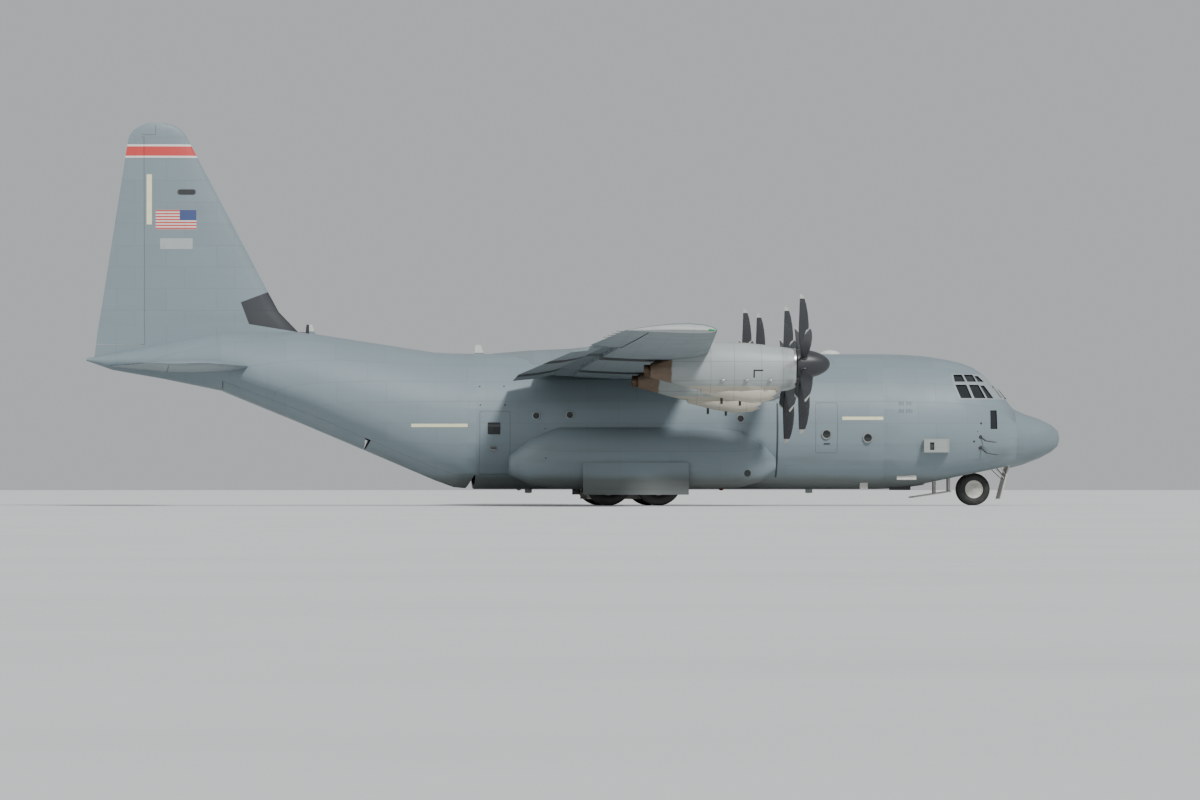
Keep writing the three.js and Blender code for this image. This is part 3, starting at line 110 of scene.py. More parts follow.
class Graph:
    """Builds one material's node tree from short calls."""

    def __init__(self, name: str) -> None:
        """Starts a material with a Principled shader.

        Args:
            name: The material's name.
        """
        self.material = bpy.data.materials.new(name)
        self.material.use_nodes = True
        self.tree = self.material.node_tree
        self.tree.nodes.clear()
        self.shader = self.node("ShaderNodeBsdfPrincipled")
        output = self.node("ShaderNodeOutputMaterial")
        self.tree.links.new(self.shader.outputs["BSDF"], output.inputs["Surface"])
        self.place = self.node("ShaderNodeTexCoord").outputs["Object"]
        parts = self.node("ShaderNodeSeparateXYZ")
        self.feed(parts.inputs[0], self.place)
        self.station = self.math("MULTIPLY_ADD", parts.outputs["X"], -1 / MODEL_SCALE, NOSE_X)
        self.side = self.math("DIVIDE", parts.outputs["Y"], MODEL_SCALE)
        self.height = self.math("DIVIDE", parts.outputs["Z"], MODEL_SCALE)
        self.out = self.math("ABSOLUTE", self.side)

    def node(self, kind: str, **settings: object) -> bpy.types.Node:
        """A new node of a kind, with its settings given by name."""
        made = self.tree.nodes.new(kind)
        for key, value in settings.items():
            setattr(made, key, value)
        return made

    def feed(self, socket: Socket, value: Value | Sequence[float]) -> None:
        """Links a socket to another, or writes a plain value on it."""
        if isinstance(value, Socket):
            self.tree.links.new(value, socket)
        else:
            socket.default_value = value

    def math(self, operation: str, *values: Value, clamp: bool = False) -> Socket:
        """The result of a Math node on up to three values."""
        made = self.node("ShaderNodeMath", operation=operation, use_clamp=clamp)
        for socket, value in zip(made.inputs, values):
            self.feed(socket, value)
        return made.outputs[0]

    def vector(self, x: Value, y: Value, z: Value = 0.0) -> Socket:
        """A vector from three values."""
        made = self.node("ShaderNodeCombineXYZ")
        for socket, value in zip(made.inputs, (x, y, z)):
            self.feed(socket, value)
        return made.outputs[0]

    def noise(self, scale: float, detail: float = 3.0, stretch: Sequence[float] = (1, 1, 1)) -> Socket:
        """Smooth noise between 0 and 1 on the piece's own coordinates."""
        mapping = self.node("ShaderNodeMapping")
        self.feed(mapping.inputs["Vector"], self.place)
        mapping.inputs["Scale"].default_value = stretch
        made = self.node("ShaderNodeTexNoise")
        self.feed(made.inputs["Vector"], mapping.outputs[0])
        made.inputs["Scale"].default_value = scale
        made.inputs["Detail"].default_value = detail
        return made.outputs["Fac"]

    def ramp(self, value: Value, low: float, high: float) -> Socket:
        """0 below low, 1 above high, smooth between."""
        made = self.node("ShaderNodeMapRange", interpolation_type="SMOOTHSTEP")
        self.feed(made.inputs["Value"], value)
        made.inputs["From Min"].default_value = low
        made.inputs["From Max"].default_value = high
        return made.outputs["Result"]

    def above(self, value: Value, limit: float) -> Socket:
        """1 where a value is over a limit."""
        return self.ramp(value, limit, limit + 0.01)

    def band(self, value: Value, low: float, high: float, soft: float = 0.008) -> Socket:
        """1 between low and high, with soft edges outside them."""
        rise = self.ramp(value, low - soft, low)
        fall = self.ramp(value, high, high + soft)
        return self.math("SUBTRACT", rise, fall, clamp=True)

    def both(self, *masks: Value) -> Socket:
        """The product of several masks."""
        result = masks[0]
        for mask in masks[1:]:
            result = self.math("MULTIPLY", result, mask)
        return result

    def either(self, *masks: Value) -> Socket:
        """The greatest of several masks."""
        result = masks[0]
        for mask in masks[1:]:
            result = self.math("MAXIMUM", result, mask)
        return result

    def inverse(self, mask: Value) -> Socket:
        """1 where a mask is 0, and 0 where it is 1."""
        return self.math("SUBTRACT", 1.0, mask)

    def below(self, value: Value, limit: float, soft: float = 0.01) -> Socket:
        """1 where a value is under a limit."""
        return self.inverse(self.ramp(value, limit, limit + soft))

    def gap(self, value: Value, middle: Value) -> Socket:
        """How far a value is from another, always above 0."""
        return self.math("ABSOLUTE", self.math("SUBTRACT", value, middle))

    def length(self, across: Value, up: Value) -> Socket:
        """The length of the slope between two sides of a right angle."""
        squares = [self.math("POWER", side, 2.0) for side in (across, up)]
        return self.math("SQRT", self.math("ADD", *squares))

    def from_thrust_line(self) -> tuple[Socket, Socket]:
        """Distances outwards and upwards from the nearer thrust line."""
        outer = self.above(self.out, 7.5)
        (_, inner_out, inner_up), (_, outer_out, outer_up) = THRUST_LINES
        across = self.math("SUBTRACT", self.out, self.spread(outer, inner_out, outer_out))
        return across, self.math("SUBTRACT", self.height, self.spread(outer, inner_up, outer_up))

    def switch(self, share: Value, first: Value, second: Value) -> Socket:
        """A number between two, the second where share is 1."""
        return self.math("MULTIPLY_ADD", share, self.math("SUBTRACT", second, first), first)

    def dot(self, station: float, height: float, radius: float) -> Socket:
        """1 inside a small circle on the aeroplane's sides."""
        distance = self.length(self.gap(self.station, station), self.gap(self.height, height))
        return self.below(distance, radius, 0.006)

    def box(self, span: Sequence[float]) -> Socket:
        """1 between two stations and two heights."""
        return self.both(self.band(self.station, *span[:2]), self.band(self.height, *span[2:]))

    def facing(self) -> tuple[Socket, Socket, Socket]:
        """The three parts of the surface's own direction."""
        parts = self.node("ShaderNodeSeparateXYZ")
        self.feed(parts.inputs[0], self.node("ShaderNodeNewGeometry").outputs["Normal"])
        return parts.outputs["X"], parts.outputs["Y"], parts.outputs["Z"]

    def on_side(self, side: Side) -> Socket:
        """1 on one side of the centre line."""
        return self.ramp(self.math("MULTIPLY", self.side, float(side.value)), 0.2, 0.21)

    def rounded(self, u: Value, v: Value, box: Sequence[float], radius: float) -> Socket:
        """Distance outside a rounded rectangle, below 0 inside it.

        Args:
            u: First coordinate.
            v: Second coordinate.
            box: Lowest and highest u, then lowest and highest v.
            radius: Corner radius.

        Returns:
            The distance in metres.
        """
        overs = []
        for value, low, high in ((u, *box[:2]), (v, *box[2:])):
            overs.append(self.math("SUBTRACT", self.gap(value, (low + high) / 2), (high - low) / 2 - radius))
        outside = self.length(*[self.math("MAXIMUM", over, 0.0) for over in overs])
        inside = self.math("MINIMUM", self.math("MAXIMUM", *overs), 0.0)
        return self.math("SUBTRACT", self.math("ADD", outside, inside), radius)

    def line(self, distance: Value, width: float) -> Socket:
        """1 where a distance is within half a width of 0."""
        return self.below(self.math("ABSOLUTE", distance), width / 2, 0.006)

    def panels(self, u: Value, v: Value, size: Pair, seam: float) -> tuple[Socket, Socket]:
        """Staggered skin panels.

        Args:
            u: Coordinate along the panels' length.
            v: Coordinate across the rows.
            size: Panel length and row height.
            seam: Width of the joint.

        Returns:
            A tone that differs from panel to panel, and 1 on the joints.
        """
        made = self.node("ShaderNodeTexBrick", offset=0.37)
        self.feed(made.inputs["Vector"], self.vector(u, v))
        for name, value in (("Scale", 1.0), ("Mortar Size", seam), ("Mortar Smooth", 0.35)):
            made.inputs[name].default_value = value
        made.inputs["Brick Width"].default_value, made.inputs["Row Height"].default_value = size
        made.inputs["Color1"].default_value = (0, 0, 0, 1)
        made.inputs["Color2"].default_value = (1, 1, 1, 1)
        made.inputs["Mortar"].default_value = (0.5, 0.5, 0.5, 1)
        return made.outputs["Color"], made.outputs["Fac"]

    def mix(self, share: Value, first: Value | Colour, second: Value | Colour) -> Socket:
        """A colour between two, the second where share is 1."""
        made = self.node("ShaderNodeMix", data_type="RGBA")
        self.feed(made.inputs["Factor"], share)
        for name, value in (("A", first), ("B", second)):
            socket = next(s for s in made.inputs if s.name == name and s.type == "RGBA")
            self.feed(socket, value if isinstance(value, Socket) else (*value, 1))
        return next(s for s in made.outputs if s.type == "RGBA")

    def tone(self, colour: Value | Colour, factor: Value) -> Socket:
        """A colour made lighter or darker by a factor."""
        made = self.node("ShaderNodeVectorMath", operation="SCALE")
        self.feed(made.inputs[0], colour)
        self.feed(made.inputs["Scale"], factor)
        return made.outputs[0]

    def stain(self, colour: Value | Colour, mask: Value, share: float, over: Value | Colour) -> Socket:
        """A colour under a share of another one where a mask is 1."""
        return self.mix(self.math("MULTIPLY", mask, share), colour, over)

    def spread(self, value: Value, low: float, high: float) -> Socket:
        """A 0 to 1 value spread over another range."""
        return self.math("MULTIPLY_ADD", value, high - low, low)

    def finish(
        self,
        colour: Value | Colour,
        roughness: Value,
        metallic: Value = 0.0,
        relief: Value | None = None,
        depth: float = 0.002,
    ) -> Finish:
        """Feeds the shader and returns the material.

        Args:
            colour: Base colour.
            roughness: Roughness, a value or a mask.
            metallic: Metallic share.
            relief: Height of the surface's relief, 0 to 1, if it has any.
            depth: What 1 of relief is in metres.

        Returns:
            The finished material.
        """
        base = colour if isinstance(colour, Socket) else (*colour, 1)
        for name, value in (("Base Color", base), ("Roughness", roughness), ("Metallic", metallic)):
            self.feed(self.shader.inputs[name], value)
        if relief is not None:
            bump = self.node("ShaderNodeBump")
            bump.inputs["Strength"].default_value = 0.6
            bump.inputs["Distance"].default_value = depth
            self.feed(bump.inputs["Height"], relief)
            self.feed(self.shader.inputs["Normal"], bump.outputs[0])
        return self.material


@dataclass(frozen=True)
class HullPaint:
    """Weathered blue-grey paint of the fuselage, tail and gear housings."""

    colour: Colour = (0.186, 0.238, 0.262)
    # Painted shade: the darker colour of the belly stands for the shade under the fuselage
    belly: Colour = (0.118, 0.130, 0.118)
    grime: Colour = (0.060, 0.058, 0.050)
    charcoal: Colour = (0.026, 0.029, 0.035)
    stripe_red: Colour = (0.56, 0.050, 0.048)
    stripe_white: Colour = (0.68, 0.68, 0.64)
    pale: Colour = (0.56, 0.57, 0.52)
    panel: Pair = (1.52, 0.66)
    seam: float = 0.004
    girth_middle: float = 2.5
    girth_radius: float = 2.1
    radome_joint: float = 1.45
    # Station and distance out, then station and height, from which the tail's own panels start
    tailplane: Pair = (22.0, 2.2)
    fin: Pair = (20.0, 5.45)
    para_door: Span = (16.98, 17.90, 0.95, 2.86)
    escape_hatch: Span = (7.03, 7.69, 1.60, 3.12)
    grille: Span = (4.74, 5.17, 2.82, 3.16)
    stripe: Pair = (10.60, 11.00)
    bars: Span = (26.45, 27.68, 8.42, 9.00)
    bars_blue: Colour = (0.045, 0.070, 0.190)
    # Slope and limit of the dark patch's slanted edges at the fin's root, and its first station
    patch_top: Pair = (0.378, 15.674)
    patch_root: Pair = (-0.1586, 1.580)
    patch_rear: Pair = (-0.373, 22.78)
    patch_front: float = 23.0
    tip_joints: tuple[Span, ...] = ((27.68, 28.10, 11.290, 11.305), (27.68, 27.695, 11.29, 11.60))
    frames: Colour = (0.262, 0.300, 0.312)
    frame_heights: Pair = (3.24, 4.01)
    frame_slant: float = 0.38
    frame_rear: float = 2.02
    housing: Span = (3.58, 4.41, 1.60, 2.03)
    housing_pale: Colour = (0.285, 0.315, 0.305)
    dome: Span = (6.73, 7.39, 4.636, 4.80)
    # First and last station and height of the foot of each aerial on the crown
    aerials: tuple[Place, ...] = ((17.62, 17.99, 4.66), (22.76, 23.15, 5.31))
    inside: Colour = (0.300, 0.330, 0.275)
    mark: Span = (8.83, 8.88, 0.86, 3.11)
    # Station, height and radius of each small dark port
    dots: tuple[Place, ...] = (
        (2.82, 1.95, 0.030), (2.60, 2.50, 0.032), (2.71, 2.26, 0.014),
        (17.89, 3.61, 0.022), (17.15, 3.62, 0.022),
        (17.88, 3.05, 0.022), (17.13, 3.05, 0.022), (15.92, 2.34, 0.016), (15.92, 1.44, 0.020),
    )
    # Stations between which the ramp's and the cargo door's ends lie, painted dark as shade in their gaps
    door_joints: tuple[Pair, ...] = ((17.95, 18.75), (21.0, 22.9))

    def build(self) -> Finish:
        """Returns the paint: panels, doors, stripe, weathering, and painted shade on the belly and door gaps.
        """
        g = Graph("hull_paint")
        girth = g.math("ARCTAN2", g.side, g.math("SUBTRACT", g.height, self.girth_middle))
        girth = g.math("MULTIPLY", girth, self.girth_radius)
        tailplane = g.both(g.above(g.station, self.tailplane[0]), g.above(g.out, self.tailplane[1]))
        upright = g.both(g.above(g.station, self.fin[0]), g.above(g.height, self.fin[1]))
        across = g.switch(upright, g.switch(tailplane, girth, g.out), g.height)
        tone, seams = g.panels(g.station, across, self.panel, self.seam)
        skin = g.above(g.station, self.radome_joint)
        seams = g.math("MULTIPLY", seams, skin)
        clouds = g.noise(0.55, 4.0, (0.6, 1.0, 1.4))
        colour = g.tone(self.colour, g.spread(clouds, 0.90, 1.10))
        colour = g.tone(colour, g.spread(tone, 0.975, 1.025))
        # Painted shade on the belly
        colour = g.mix(self._belly(g), colour, self.belly)
        colour = g.tone(colour, g.spread(skin, 0.92, 1.0))
        colour = self._pale_parts(g, colour)
        colour = self._tail_marks(g, colour)
        edges = g.either(*self._door_lines(g))
        rivets = g.both(self._rivets(g, across), skin)
        for mask, share in ((seams, 0.30), (edges, 0.55), (rivets, 0.12)):
            colour = g.stain(colour, mask, share, self.grime)
        colour = g.mix(self._streaks(g), colour, self.grime)
        colour = g.mix(self._black_marks(g), colour, self.charcoal)
        relief = g.math("SUBTRACT", g.math("MULTIPLY", rivets, 0.4), g.either(seams, edges))
        colour = g.mix(self._inside(g), colour, g.tone(self.inside, g.spread(clouds, 0.7, 1.2)))
        roughness = g.spread(g.noise(2.2, 5.0), 0.42, 0.62)
        return g.finish(colour, roughness, relief=relief, depth=0.0015)

    def _pale_parts(self, g: Graph, colour: Socket) -> Socket:
        """Adds the paler bars between the panes, the sensor housing, the dome and the pale aerials."""
        rear = g.math("MULTIPLY_ADD", g.height, -self.frame_slant, g.station)
        frames = g.both(g.band(g.height, *self.frame_heights), g.below(rear, self.frame_rear),
                        g.below(g.station, 3.45))
        colour = g.mix(frames, colour, self.frames)
        housing = g.both(g.box(self.housing), g.on_side(Side.RIGHT))
        colour = g.mix(housing, colour, self.housing_pale)
        colour = g.mix(g.both(g.box(self.dome), g.below(g.out, 0.24)), colour, self.pale)
        for first, last, foot in self.aerials:
            blade = g.both(g.band(g.station, first, last), g.above(g.height, foot), g.below(g.out, 0.05))
            colour = g.mix(blade, colour, self.pale)
        return colour

    def _black_marks(self, g: Graph) -> Socket:
        """The upright mark by the propellers, grille slits, small ports and painted shade in the door gaps.
        """
        front, rear, foot, head = self.grille
        slits = g.ramp(g.math("SINE", g.math("MULTIPLY", g.station, 2 * math.pi / 0.045)), -0.2, 0.2)
        blocks = g.gap(g.station, (front + rear) / 2)
        rows = g.gap(g.height, (foot + head) / 2)
        grille = g.both(g.box(self.grille), slits, g.ramp(blocks, 0.025, 0.03), g.ramp(rows, 0.055, 0.06),
                        g.on_side(Side.RIGHT))
        marks = [g.math("MULTIPLY", grille, 0.62), g.math("MULTIPLY", g.box(self.mark), 0.92)]
        sides = g.ramp(g.out, 0.9, 0.95)
        marks += [g.both(g.dot(*dot), sides) for dot in self.dots]
        ends = g.ramp(g.math("ABSOLUTE", g.facing()[0]), 0.72, 0.80)
        low = g.below(g.height, 2.3)
        # Painted shade: the ends of the ramp and cargo door, dark as the gaps at their joints
        marks += [g.both(g.band(g.station, *joint), ends, low, 0.85) for joint in self.door_joints]
        return g.either(*marks)

    def _inside(self, g: Graph) -> Socket:
        """The faces that look into the cabin, the hold and the wheel wells."""
        _, y, z = g.facing()
        across = g.math("MULTIPLY", y, g.side)
        up = g.math("MULTIPLY", z, g.math("SUBTRACT", g.height, self.girth_middle))
        inwards = g.below(g.math("ADD", across, up), -0.6, 0.05)
        floor = g.both(g.ramp(z, 0.5, 0.6), g.band(g.station, 18.0, 21.4), g.below(g.height, 2.3))
        return g.both(g.either(inwards, floor), g.band(g.station, 1.6, 24.4))

    def _belly(self, g: Graph) -> Socket:
        """The share of painted shade low on the fuselage, with a wavering edge."""
        edge = g.math("ADD", g.height, g.spread(g.noise(1.5), -0.10, 0.10))
        return g.math("MULTIPLY", g.both(g.below(edge, 0.74, 0.26), g.below(g.station, 18.2, 3.3)), 0.8)

    def _tail_marks(self, g: Graph, colour: Socket) -> Socket:
        """Adds the fin's stripe, the plain striped panel and the dark patch at its root."""
        low, high = self.stripe
        colour = g.mix(g.band(g.height, low, high), colour, self.stripe_white)
        colour = g.mix(g.band(g.height, low + 0.06, high - 0.06), colour, self.stripe_red)
        left, _, foot, head = self.bars
        rows = g.math("FRACT", g.math("MULTIPLY", g.math("SUBTRACT", g.height, foot), 6.5 / (head - foot)))
        red_rows = g.ramp(rows, 0.46, 0.54)
        stripes = g.mix(red_rows, self.stripe_red, self.stripe_white)
        colour = g.mix(g.box(self.bars), colour, stripes)
        corner = g.box((left, left + 0.5, foot + 0.27, head))
        colour = g.mix(corner, colour, self.bars_blue)
        slope, limit = self.patch_top
        top = g.below(g.math("MULTIPLY_ADD", g.station, slope, g.height), limit)
        slope, limit = self.patch_root
        root = g.above(g.math("MULTIPLY_ADD", g.station, slope, g.height), limit)
        slope, limit = self.patch_rear
        rear = g.below(g.math("MULTIPLY_ADD", g.height, slope, g.station), limit)
        patch = g.both(top, root, rear, g.above(g.station, self.patch_front), g.below(g.out, 0.4))
        return g.mix(patch, colour, self.charcoal)

    def _door_lines(self, g: Graph) -> list[Socket]:
        """Outlines of the doors and hatches that are cut in the skin, and the joint at the fin's tip."""
        lines = [g.box(joint) for joint in self.tip_joints]
        for box, mask in ((self.para_door, 1.0), (self.escape_hatch, g.on_side(Side.RIGHT))):
            edge = g.line(g.rounded(g.station, g.height, box, 0.07), 0.012)
            lines.append(g.both(edge, mask, g.ramp(g.out, 1.2, 1.25)))
        return lines

    def _rivets(self, g: Graph, across: Socket) -> Socket:
        """Rows of flush rivets beside the panel joints."""
        row = g.math("FRACT", g.math("DIVIDE", across, self.panel[1]))
        near = g.band(g.math("MULTIPLY", row, self.panel[1]), 0.026, 0.032, 0.004)
        pitch = g.math("SINE", g.math("MULTIPLY", g.station, 2 * math.pi / 0.055))
        return g.both(near, g.ramp(pitch, 0.60, 0.85))

    def _streaks(self, g: Graph) -> Socket:
        """Dirt drawn aft by the air, heavier low on the skin."""
        long_noise = g.noise(1.1, 6.0, (0.22, 2.4, 2.4))
        low = g.below(g.height, 0.6, 2.0)
        strength = g.math("MULTIPLY_ADD", low, 0.40, 0.10)
        return g.math("MULTIPLY", g.ramp(long_noise, 0.52, 0.80), strength)


@dataclass(frozen=True)
class WingPaint:
    """Paint of the wings, flaps and ailerons, with charcoal panels behind the jet pipes."""

    colour: Colour = (0.178, 0.222, 0.240)
    charcoal: Colour = (0.022, 0.024, 0.027)
    grime: Colour = (0.055, 0.054, 0.050)
    bare: Colour = (0.42, 0.44, 0.44)
    panel: Pair = (1.86, 0.58)
    pipe_end: float = 13.0
    tip: float = 20.02
    edge_square: Span = (19.30, 19.62, 11.70, 12.06)

    def build(self) -> Finish:
        """Returns the paint with its panels, dark bands, worn leading edge and edge square."""
        g = Graph("wing_paint")
        tone, seams = g.panels(g.out, g.station, self.panel, 0.005)
        clouds = g.noise(0.6, 4.0, (1.2, 0.5, 1.0))
        colour = g.tone(self.colour, g.spread(clouds, 0.90, 1.09))
        colour = g.tone(colour, g.spread(tone, 0.97, 1.03))
        ahead, _, up = g.facing()
        under = g.below(up, -0.15, 0.3)
        bands = []
        for _, out, _ in THRUST_LINES:
            wide = g.math("MULTIPLY_ADD", g.station, 0.05, 0.42 - 0.05 * self.pipe_end)
            inside = g.below(g.math("SUBTRACT", g.gap(g.out, out), wide), 0.0, 0.02)
            bands.append(g.both(inside, g.above(g.station, self.pipe_end)))
        soot = g.both(under, g.either(*bands))
        colour = g.mix(soot, colour, self.charcoal)
        square = g.both(g.band(g.out, *self.edge_square[:2]), g.band(g.station, *self.edge_square[2:]))
        colour = g.mix(square, colour, self.charcoal)
        leading = g.ramp(ahead, 0.80, 0.97)
        worn = g.both(leading, g.ramp(g.noise(6.0, 6.0), 0.52, 0.66))
        colour = g.stain(colour, worn, 0.6, self.bare)
        colour = g.mix(g.band(g.out, self.tip, 30.0), colour, self.bare)
        colour = g.stain(colour, seams, 0.32, self.grime)
        streaks = g.ramp(g.noise(1.4, 6.0, (0.25, 2.2, 1.0)), 0.52, 0.82)
        colour = g.stain(colour, streaks, 0.28, self.grime)
        roughness = g.spread(g.noise(2.4, 5.0), 0.48, 0.68)
        return g.finish(colour, roughness, relief=g.inverse(seams), depth=0.0015)


@dataclass(frozen=True)
class NacellePaint:
    """Pale grey paint of the engine cowls, with a cream oil cooler duct and black corner marks."""

    colour: Colour = (0.335, 0.370, 0.368)
    cream: Colour = (0.475, 0.455, 0.375)
    black: Colour = (0.012, 0.012, 0.013)
    grime: Colour = (0.075, 0.068, 0.055)
    burnt: Colour = (0.175, 0.120, 0.080)
    burnt_from: float = 12.72
    joint_stations: tuple[float, ...] = (9.42, 10.06, 10.86, 11.55)
    joint_levels: Pair = (0.06, -0.50)
    duct_front: Pair = (9.48, 9.56)
    duct_top: float = -0.64
    mark: Span = (10.02, 10.30, -0.41, -0.18)

    def build(self) -> Finish:
        """Returns the paint with its cowl joints, marks and soot."""
        g = Graph("nacelle_paint")
        _, level = g.from_thrust_line()
        joints = [g.line(g.math("SUBTRACT", g.station, at), 0.007) for at in self.joint_stations]
        joints += [g.line(g.math("SUBTRACT", level, at), 0.007) for at in self.joint_levels]
        seams = g.math("MULTIPLY", g.either(*joints), 0.45)
        colour = g.tone(self.colour, g.spread(g.noise(1.3, 4.0), 0.90, 1.08))
        duct = g.both(g.below(level, self.duct_top - 0.02, 0.02), g.ramp(g.station, *self.duct_front))
        colour = g.mix(duct, colour, g.tone(self.cream, g.spread(g.noise(2.2, 5.0), 0.80, 1.12)))
        front, rear, foot, head = self.mark
        bar = g.both(g.band(g.station, front, rear), g.band(level, head - 0.035, head))
        leg = g.both(g.band(g.station, rear - 0.035, rear), g.band(level, foot, head))
        colour = g.mix(g.either(bar, leg), colour, self.black)
        colour = g.mix(seams, colour, self.grime)
        soot = g.both(g.ramp(g.station, 11.4, 13.2), g.ramp(g.noise(1.6, 5.0, (0.4, 1.5, 1.5)), 0.35, 0.75))
        lip = g.both(g.below(g.station, 9.1, 0.5), g.ramp(g.noise(3.0, 4.0), 0.45, 0.7))
        colour = g.stain(colour, g.either(soot, lip), 0.55, self.grime)
        uneven = g.math("MULTIPLY_ADD", g.noise(5.0, 4.0), 0.12, g.station)
        heat = g.ramp(uneven, self.burnt_from, self.burnt_from + 0.05)
        colour = g.mix(heat, colour, g.tone(self.burnt, g.spread(g.noise(9.0, 5.0), 0.55, 1.25)))
        roughness = g.spread(g.noise(3.0, 4.0), 0.38, 0.58)
        return g.finish(colour, roughness, relief=g.inverse(seams), depth=0.0015)


@dataclass(frozen=True)
class MottledFinish:
    """A plain painted, moulded or metal finish with two scales of wear."""

    name: str
    colour: Colour
    worn: Colour
    roughness: Pair = (0.4, 0.6)
    metallic: float = 0.0
    scale: float = 9.0
    wear: Pair = (0.55, 0.75)
    depth: float = 0.0006

    def build(self) -> Finish:
        """Returns the finish."""
        g = Graph(self.name)
        coarse = g.noise(self.scale, 5.0)
        fine = g.noise(self.scale * 9, 3.0)
        colour = g.tone(self.colour, g.spread(coarse, 0.86, 1.12))
        colour = g.stain(colour, g.ramp(coarse, *self.wear), 0.7, self.worn)
        roughness = g.spread(fine, *self.roughness)
        return g.finish(colour, roughness, self.metallic, relief=fine, depth=self.depth)


@dataclass(frozen=True)
class BladePaint:
    """Charcoal propeller blades with pale tips and rubbed leading edges."""

    colour: Colour = (0.030, 0.032, 0.036)
    tip_colour: Colour = (0.50, 0.50, 0.46)
    chip: Colour = (0.22, 0.22, 0.22)
    tip: Pair = (1.93, 2.6)

    def build(self) -> Finish:
        """Returns the finish, measured out from each hub."""
        g = Graph("propeller_paint")
        radius = g.length(*g.from_thrust_line())
        colour = g.tone(self.colour, g.spread(g.noise(5.0, 5.0), 0.8, 1.3))
        colour = g.mix(g.band(radius, *self.tip), colour, self.tip_colour)
        chips = g.both(g.ramp(g.noise(40.0, 4.0), 0.62, 0.70), g.ramp(radius, 0.7, 1.6))
        colour = g.stain(colour, chips, 0.5, self.chip)
        return g.finish(colour, g.spread(g.noise(8.0), 0.32, 0.5), relief=g.noise(60.0), depth=0.0004)


@dataclass(frozen=True)
class TyreRubber:
    """Dusty black rubber."""

    colour: Colour = (0.018, 0.018, 0.018)
    dust: Colour = (0.085, 0.080, 0.070)

    def build(self) -> Finish:
        """Returns the rubber, dusty where the noise is high."""
        g = Graph("tyre_rubber")
        dusty = g.ramp(g.noise(7.0, 6.0), 0.48, 0.72)
        colour = g.stain(self.colour, dusty, 0.45, self.dust)
        return g.finish(colour, g.spread(dusty, 0.62, 0.86), relief=g.noise(90.0, 4.0), depth=0.0007)


@dataclass(frozen=True)
class TintedGlass:
    """Dark flight deck glass with a faint blue-green cast."""

    colour: Colour = (0.010, 0.016, 0.018)

    def build(self) -> Finish:
        """Returns the glass: dark, glossy and a little see-through."""
        g = Graph("tinted_glass")
        g.shader.inputs["IOR"].default_value = 1.5
        g.shader.inputs["Transmission Weight"].default_value = 0.35
        g.shader.inputs["Coat Weight"].default_value = 0.6
        g.shader.inputs["Coat Roughness"].default_value = 0.04
        smear = g.noise(6.0, 5.0, (1.0, 1.0, 0.3))
        colour = g.tone(self.colour, g.spread(smear, 0.7, 1.5))
        return g.finish(colour, g.spread(smear, 0.04, 0.12))


MIRROR = Matrix.Diagonal((1, -1, 1, 1))


def deselect() -> None:
    """Leaves edit mode and deselects every object."""
    if bpy.context.mode != "OBJECT":
        bpy.ops.object.mode_set(mode="OBJECT")
    bpy.ops.object.select_all(action="DESELECT")


def activate(piece: Piece) -> None:
    """Selects one object alone and makes it active."""
    deselect()
    piece.select_set(True)
    bpy.context.view_layer.objects.active = piece


def start(adder: Callable[..., set[str]], name: str, **settings: object) -> Piece:
    """Adds a primitive and names it.

    Args:
        adder: The primitive's operator.
        name: The new object's name.
        **settings: What the operator is given.

    Returns:
        The new object, active and selected alone.
    """
    deselect()
    adder(**settings)
    piece = bpy.context.object
    piece.name = name
    return piece


def settle(piece: Piece) -> None:
    """Moves an object's place, turn and scale into its mesh."""
    activate(piece)
    bpy.ops.object.transform_apply(location=True, rotation=True, scale=True)


def modify(piece: Piece, kind: str, **settings: object) -> None:
    """Adds a modifier to a piece and applies it."""
    activate(piece)
    bpy.ops.object.modifier_add(type=kind)
    modifier = piece.modifiers[-1]
    for key, value in settings.items():
        setattr(modifier, key, value)
    bpy.ops.object.modifier_apply(modifier=modifier.name)


def open_edit(piece: Piece) -> None:
    """Opens a piece in edit mode with everything selected."""
    activate(piece)
    bpy.ops.object.mode_set(mode="EDIT")
    bpy.ops.mesh.select_mode(type="VERT")
    bpy.ops.mesh.select_all(action="SELECT")


def close_edit() -> None:
    """Goes back to object mode."""
    bpy.ops.object.mode_set(mode="OBJECT")


def open_faces(piece: Piece, test: Callable[[bpy.types.MeshPolygon], bool]) -> None:
    """Opens a piece in edit mode with only the faces selected that pass a test."""
    open_edit(piece)
    bpy.ops.mesh.select_mode(type="FACE")
    bpy.ops.mesh.select_all(action="DESELECT")
    close_edit()
    for face in piece.data.polygons:
        face.select = test(face)
    bpy.ops.object.mode_set(mode="EDIT")


def clean(piece: Piece) -> None:
    """Merges doubled points and turns every face outwards."""
    open_edit(piece)
    bpy.ops.mesh.remove_doubles(threshold=1e-5)
    bpy.ops.mesh.normals_make_consistent(inside=False)
    close_edit()


def joined(name: str, pieces: Sequence[Piece]) -> Piece:
    """One object made of several."""
    activate(pieces[0])
    for piece in pieces:
        piece.select_set(True)
    bpy.ops.object.join()
    whole = bpy.context.object
    whole.name = name
    return whole


def copied(piece: Piece, name: str, matrix: Matrix) -> Piece:
    """A copy with a mesh of its own, in which a matrix moves it.

    Args:
        piece: What is copied.
        name: The copy's name.
        matrix: Its move; one that mirrors turns the copy's faces round again.

    Returns:
        The copy.
    """
    twin = piece.copy()
    twin.data = piece.data.copy()
    twin.name = name
    bpy.context.scene.collection.objects.link(twin)
    twin.data.transform(matrix)
    if matrix.determinant() < 0:
        twin.data.flip_normals()
    return twin


def shifted(station: float = 0.0, side: float = 0.0, height: float = 0.0) -> Matrix:
    """A move by full-size metres aft, to the left and up."""
    return Matrix.Translation(Vector((-station, side, height)) * MODEL_SCALE)


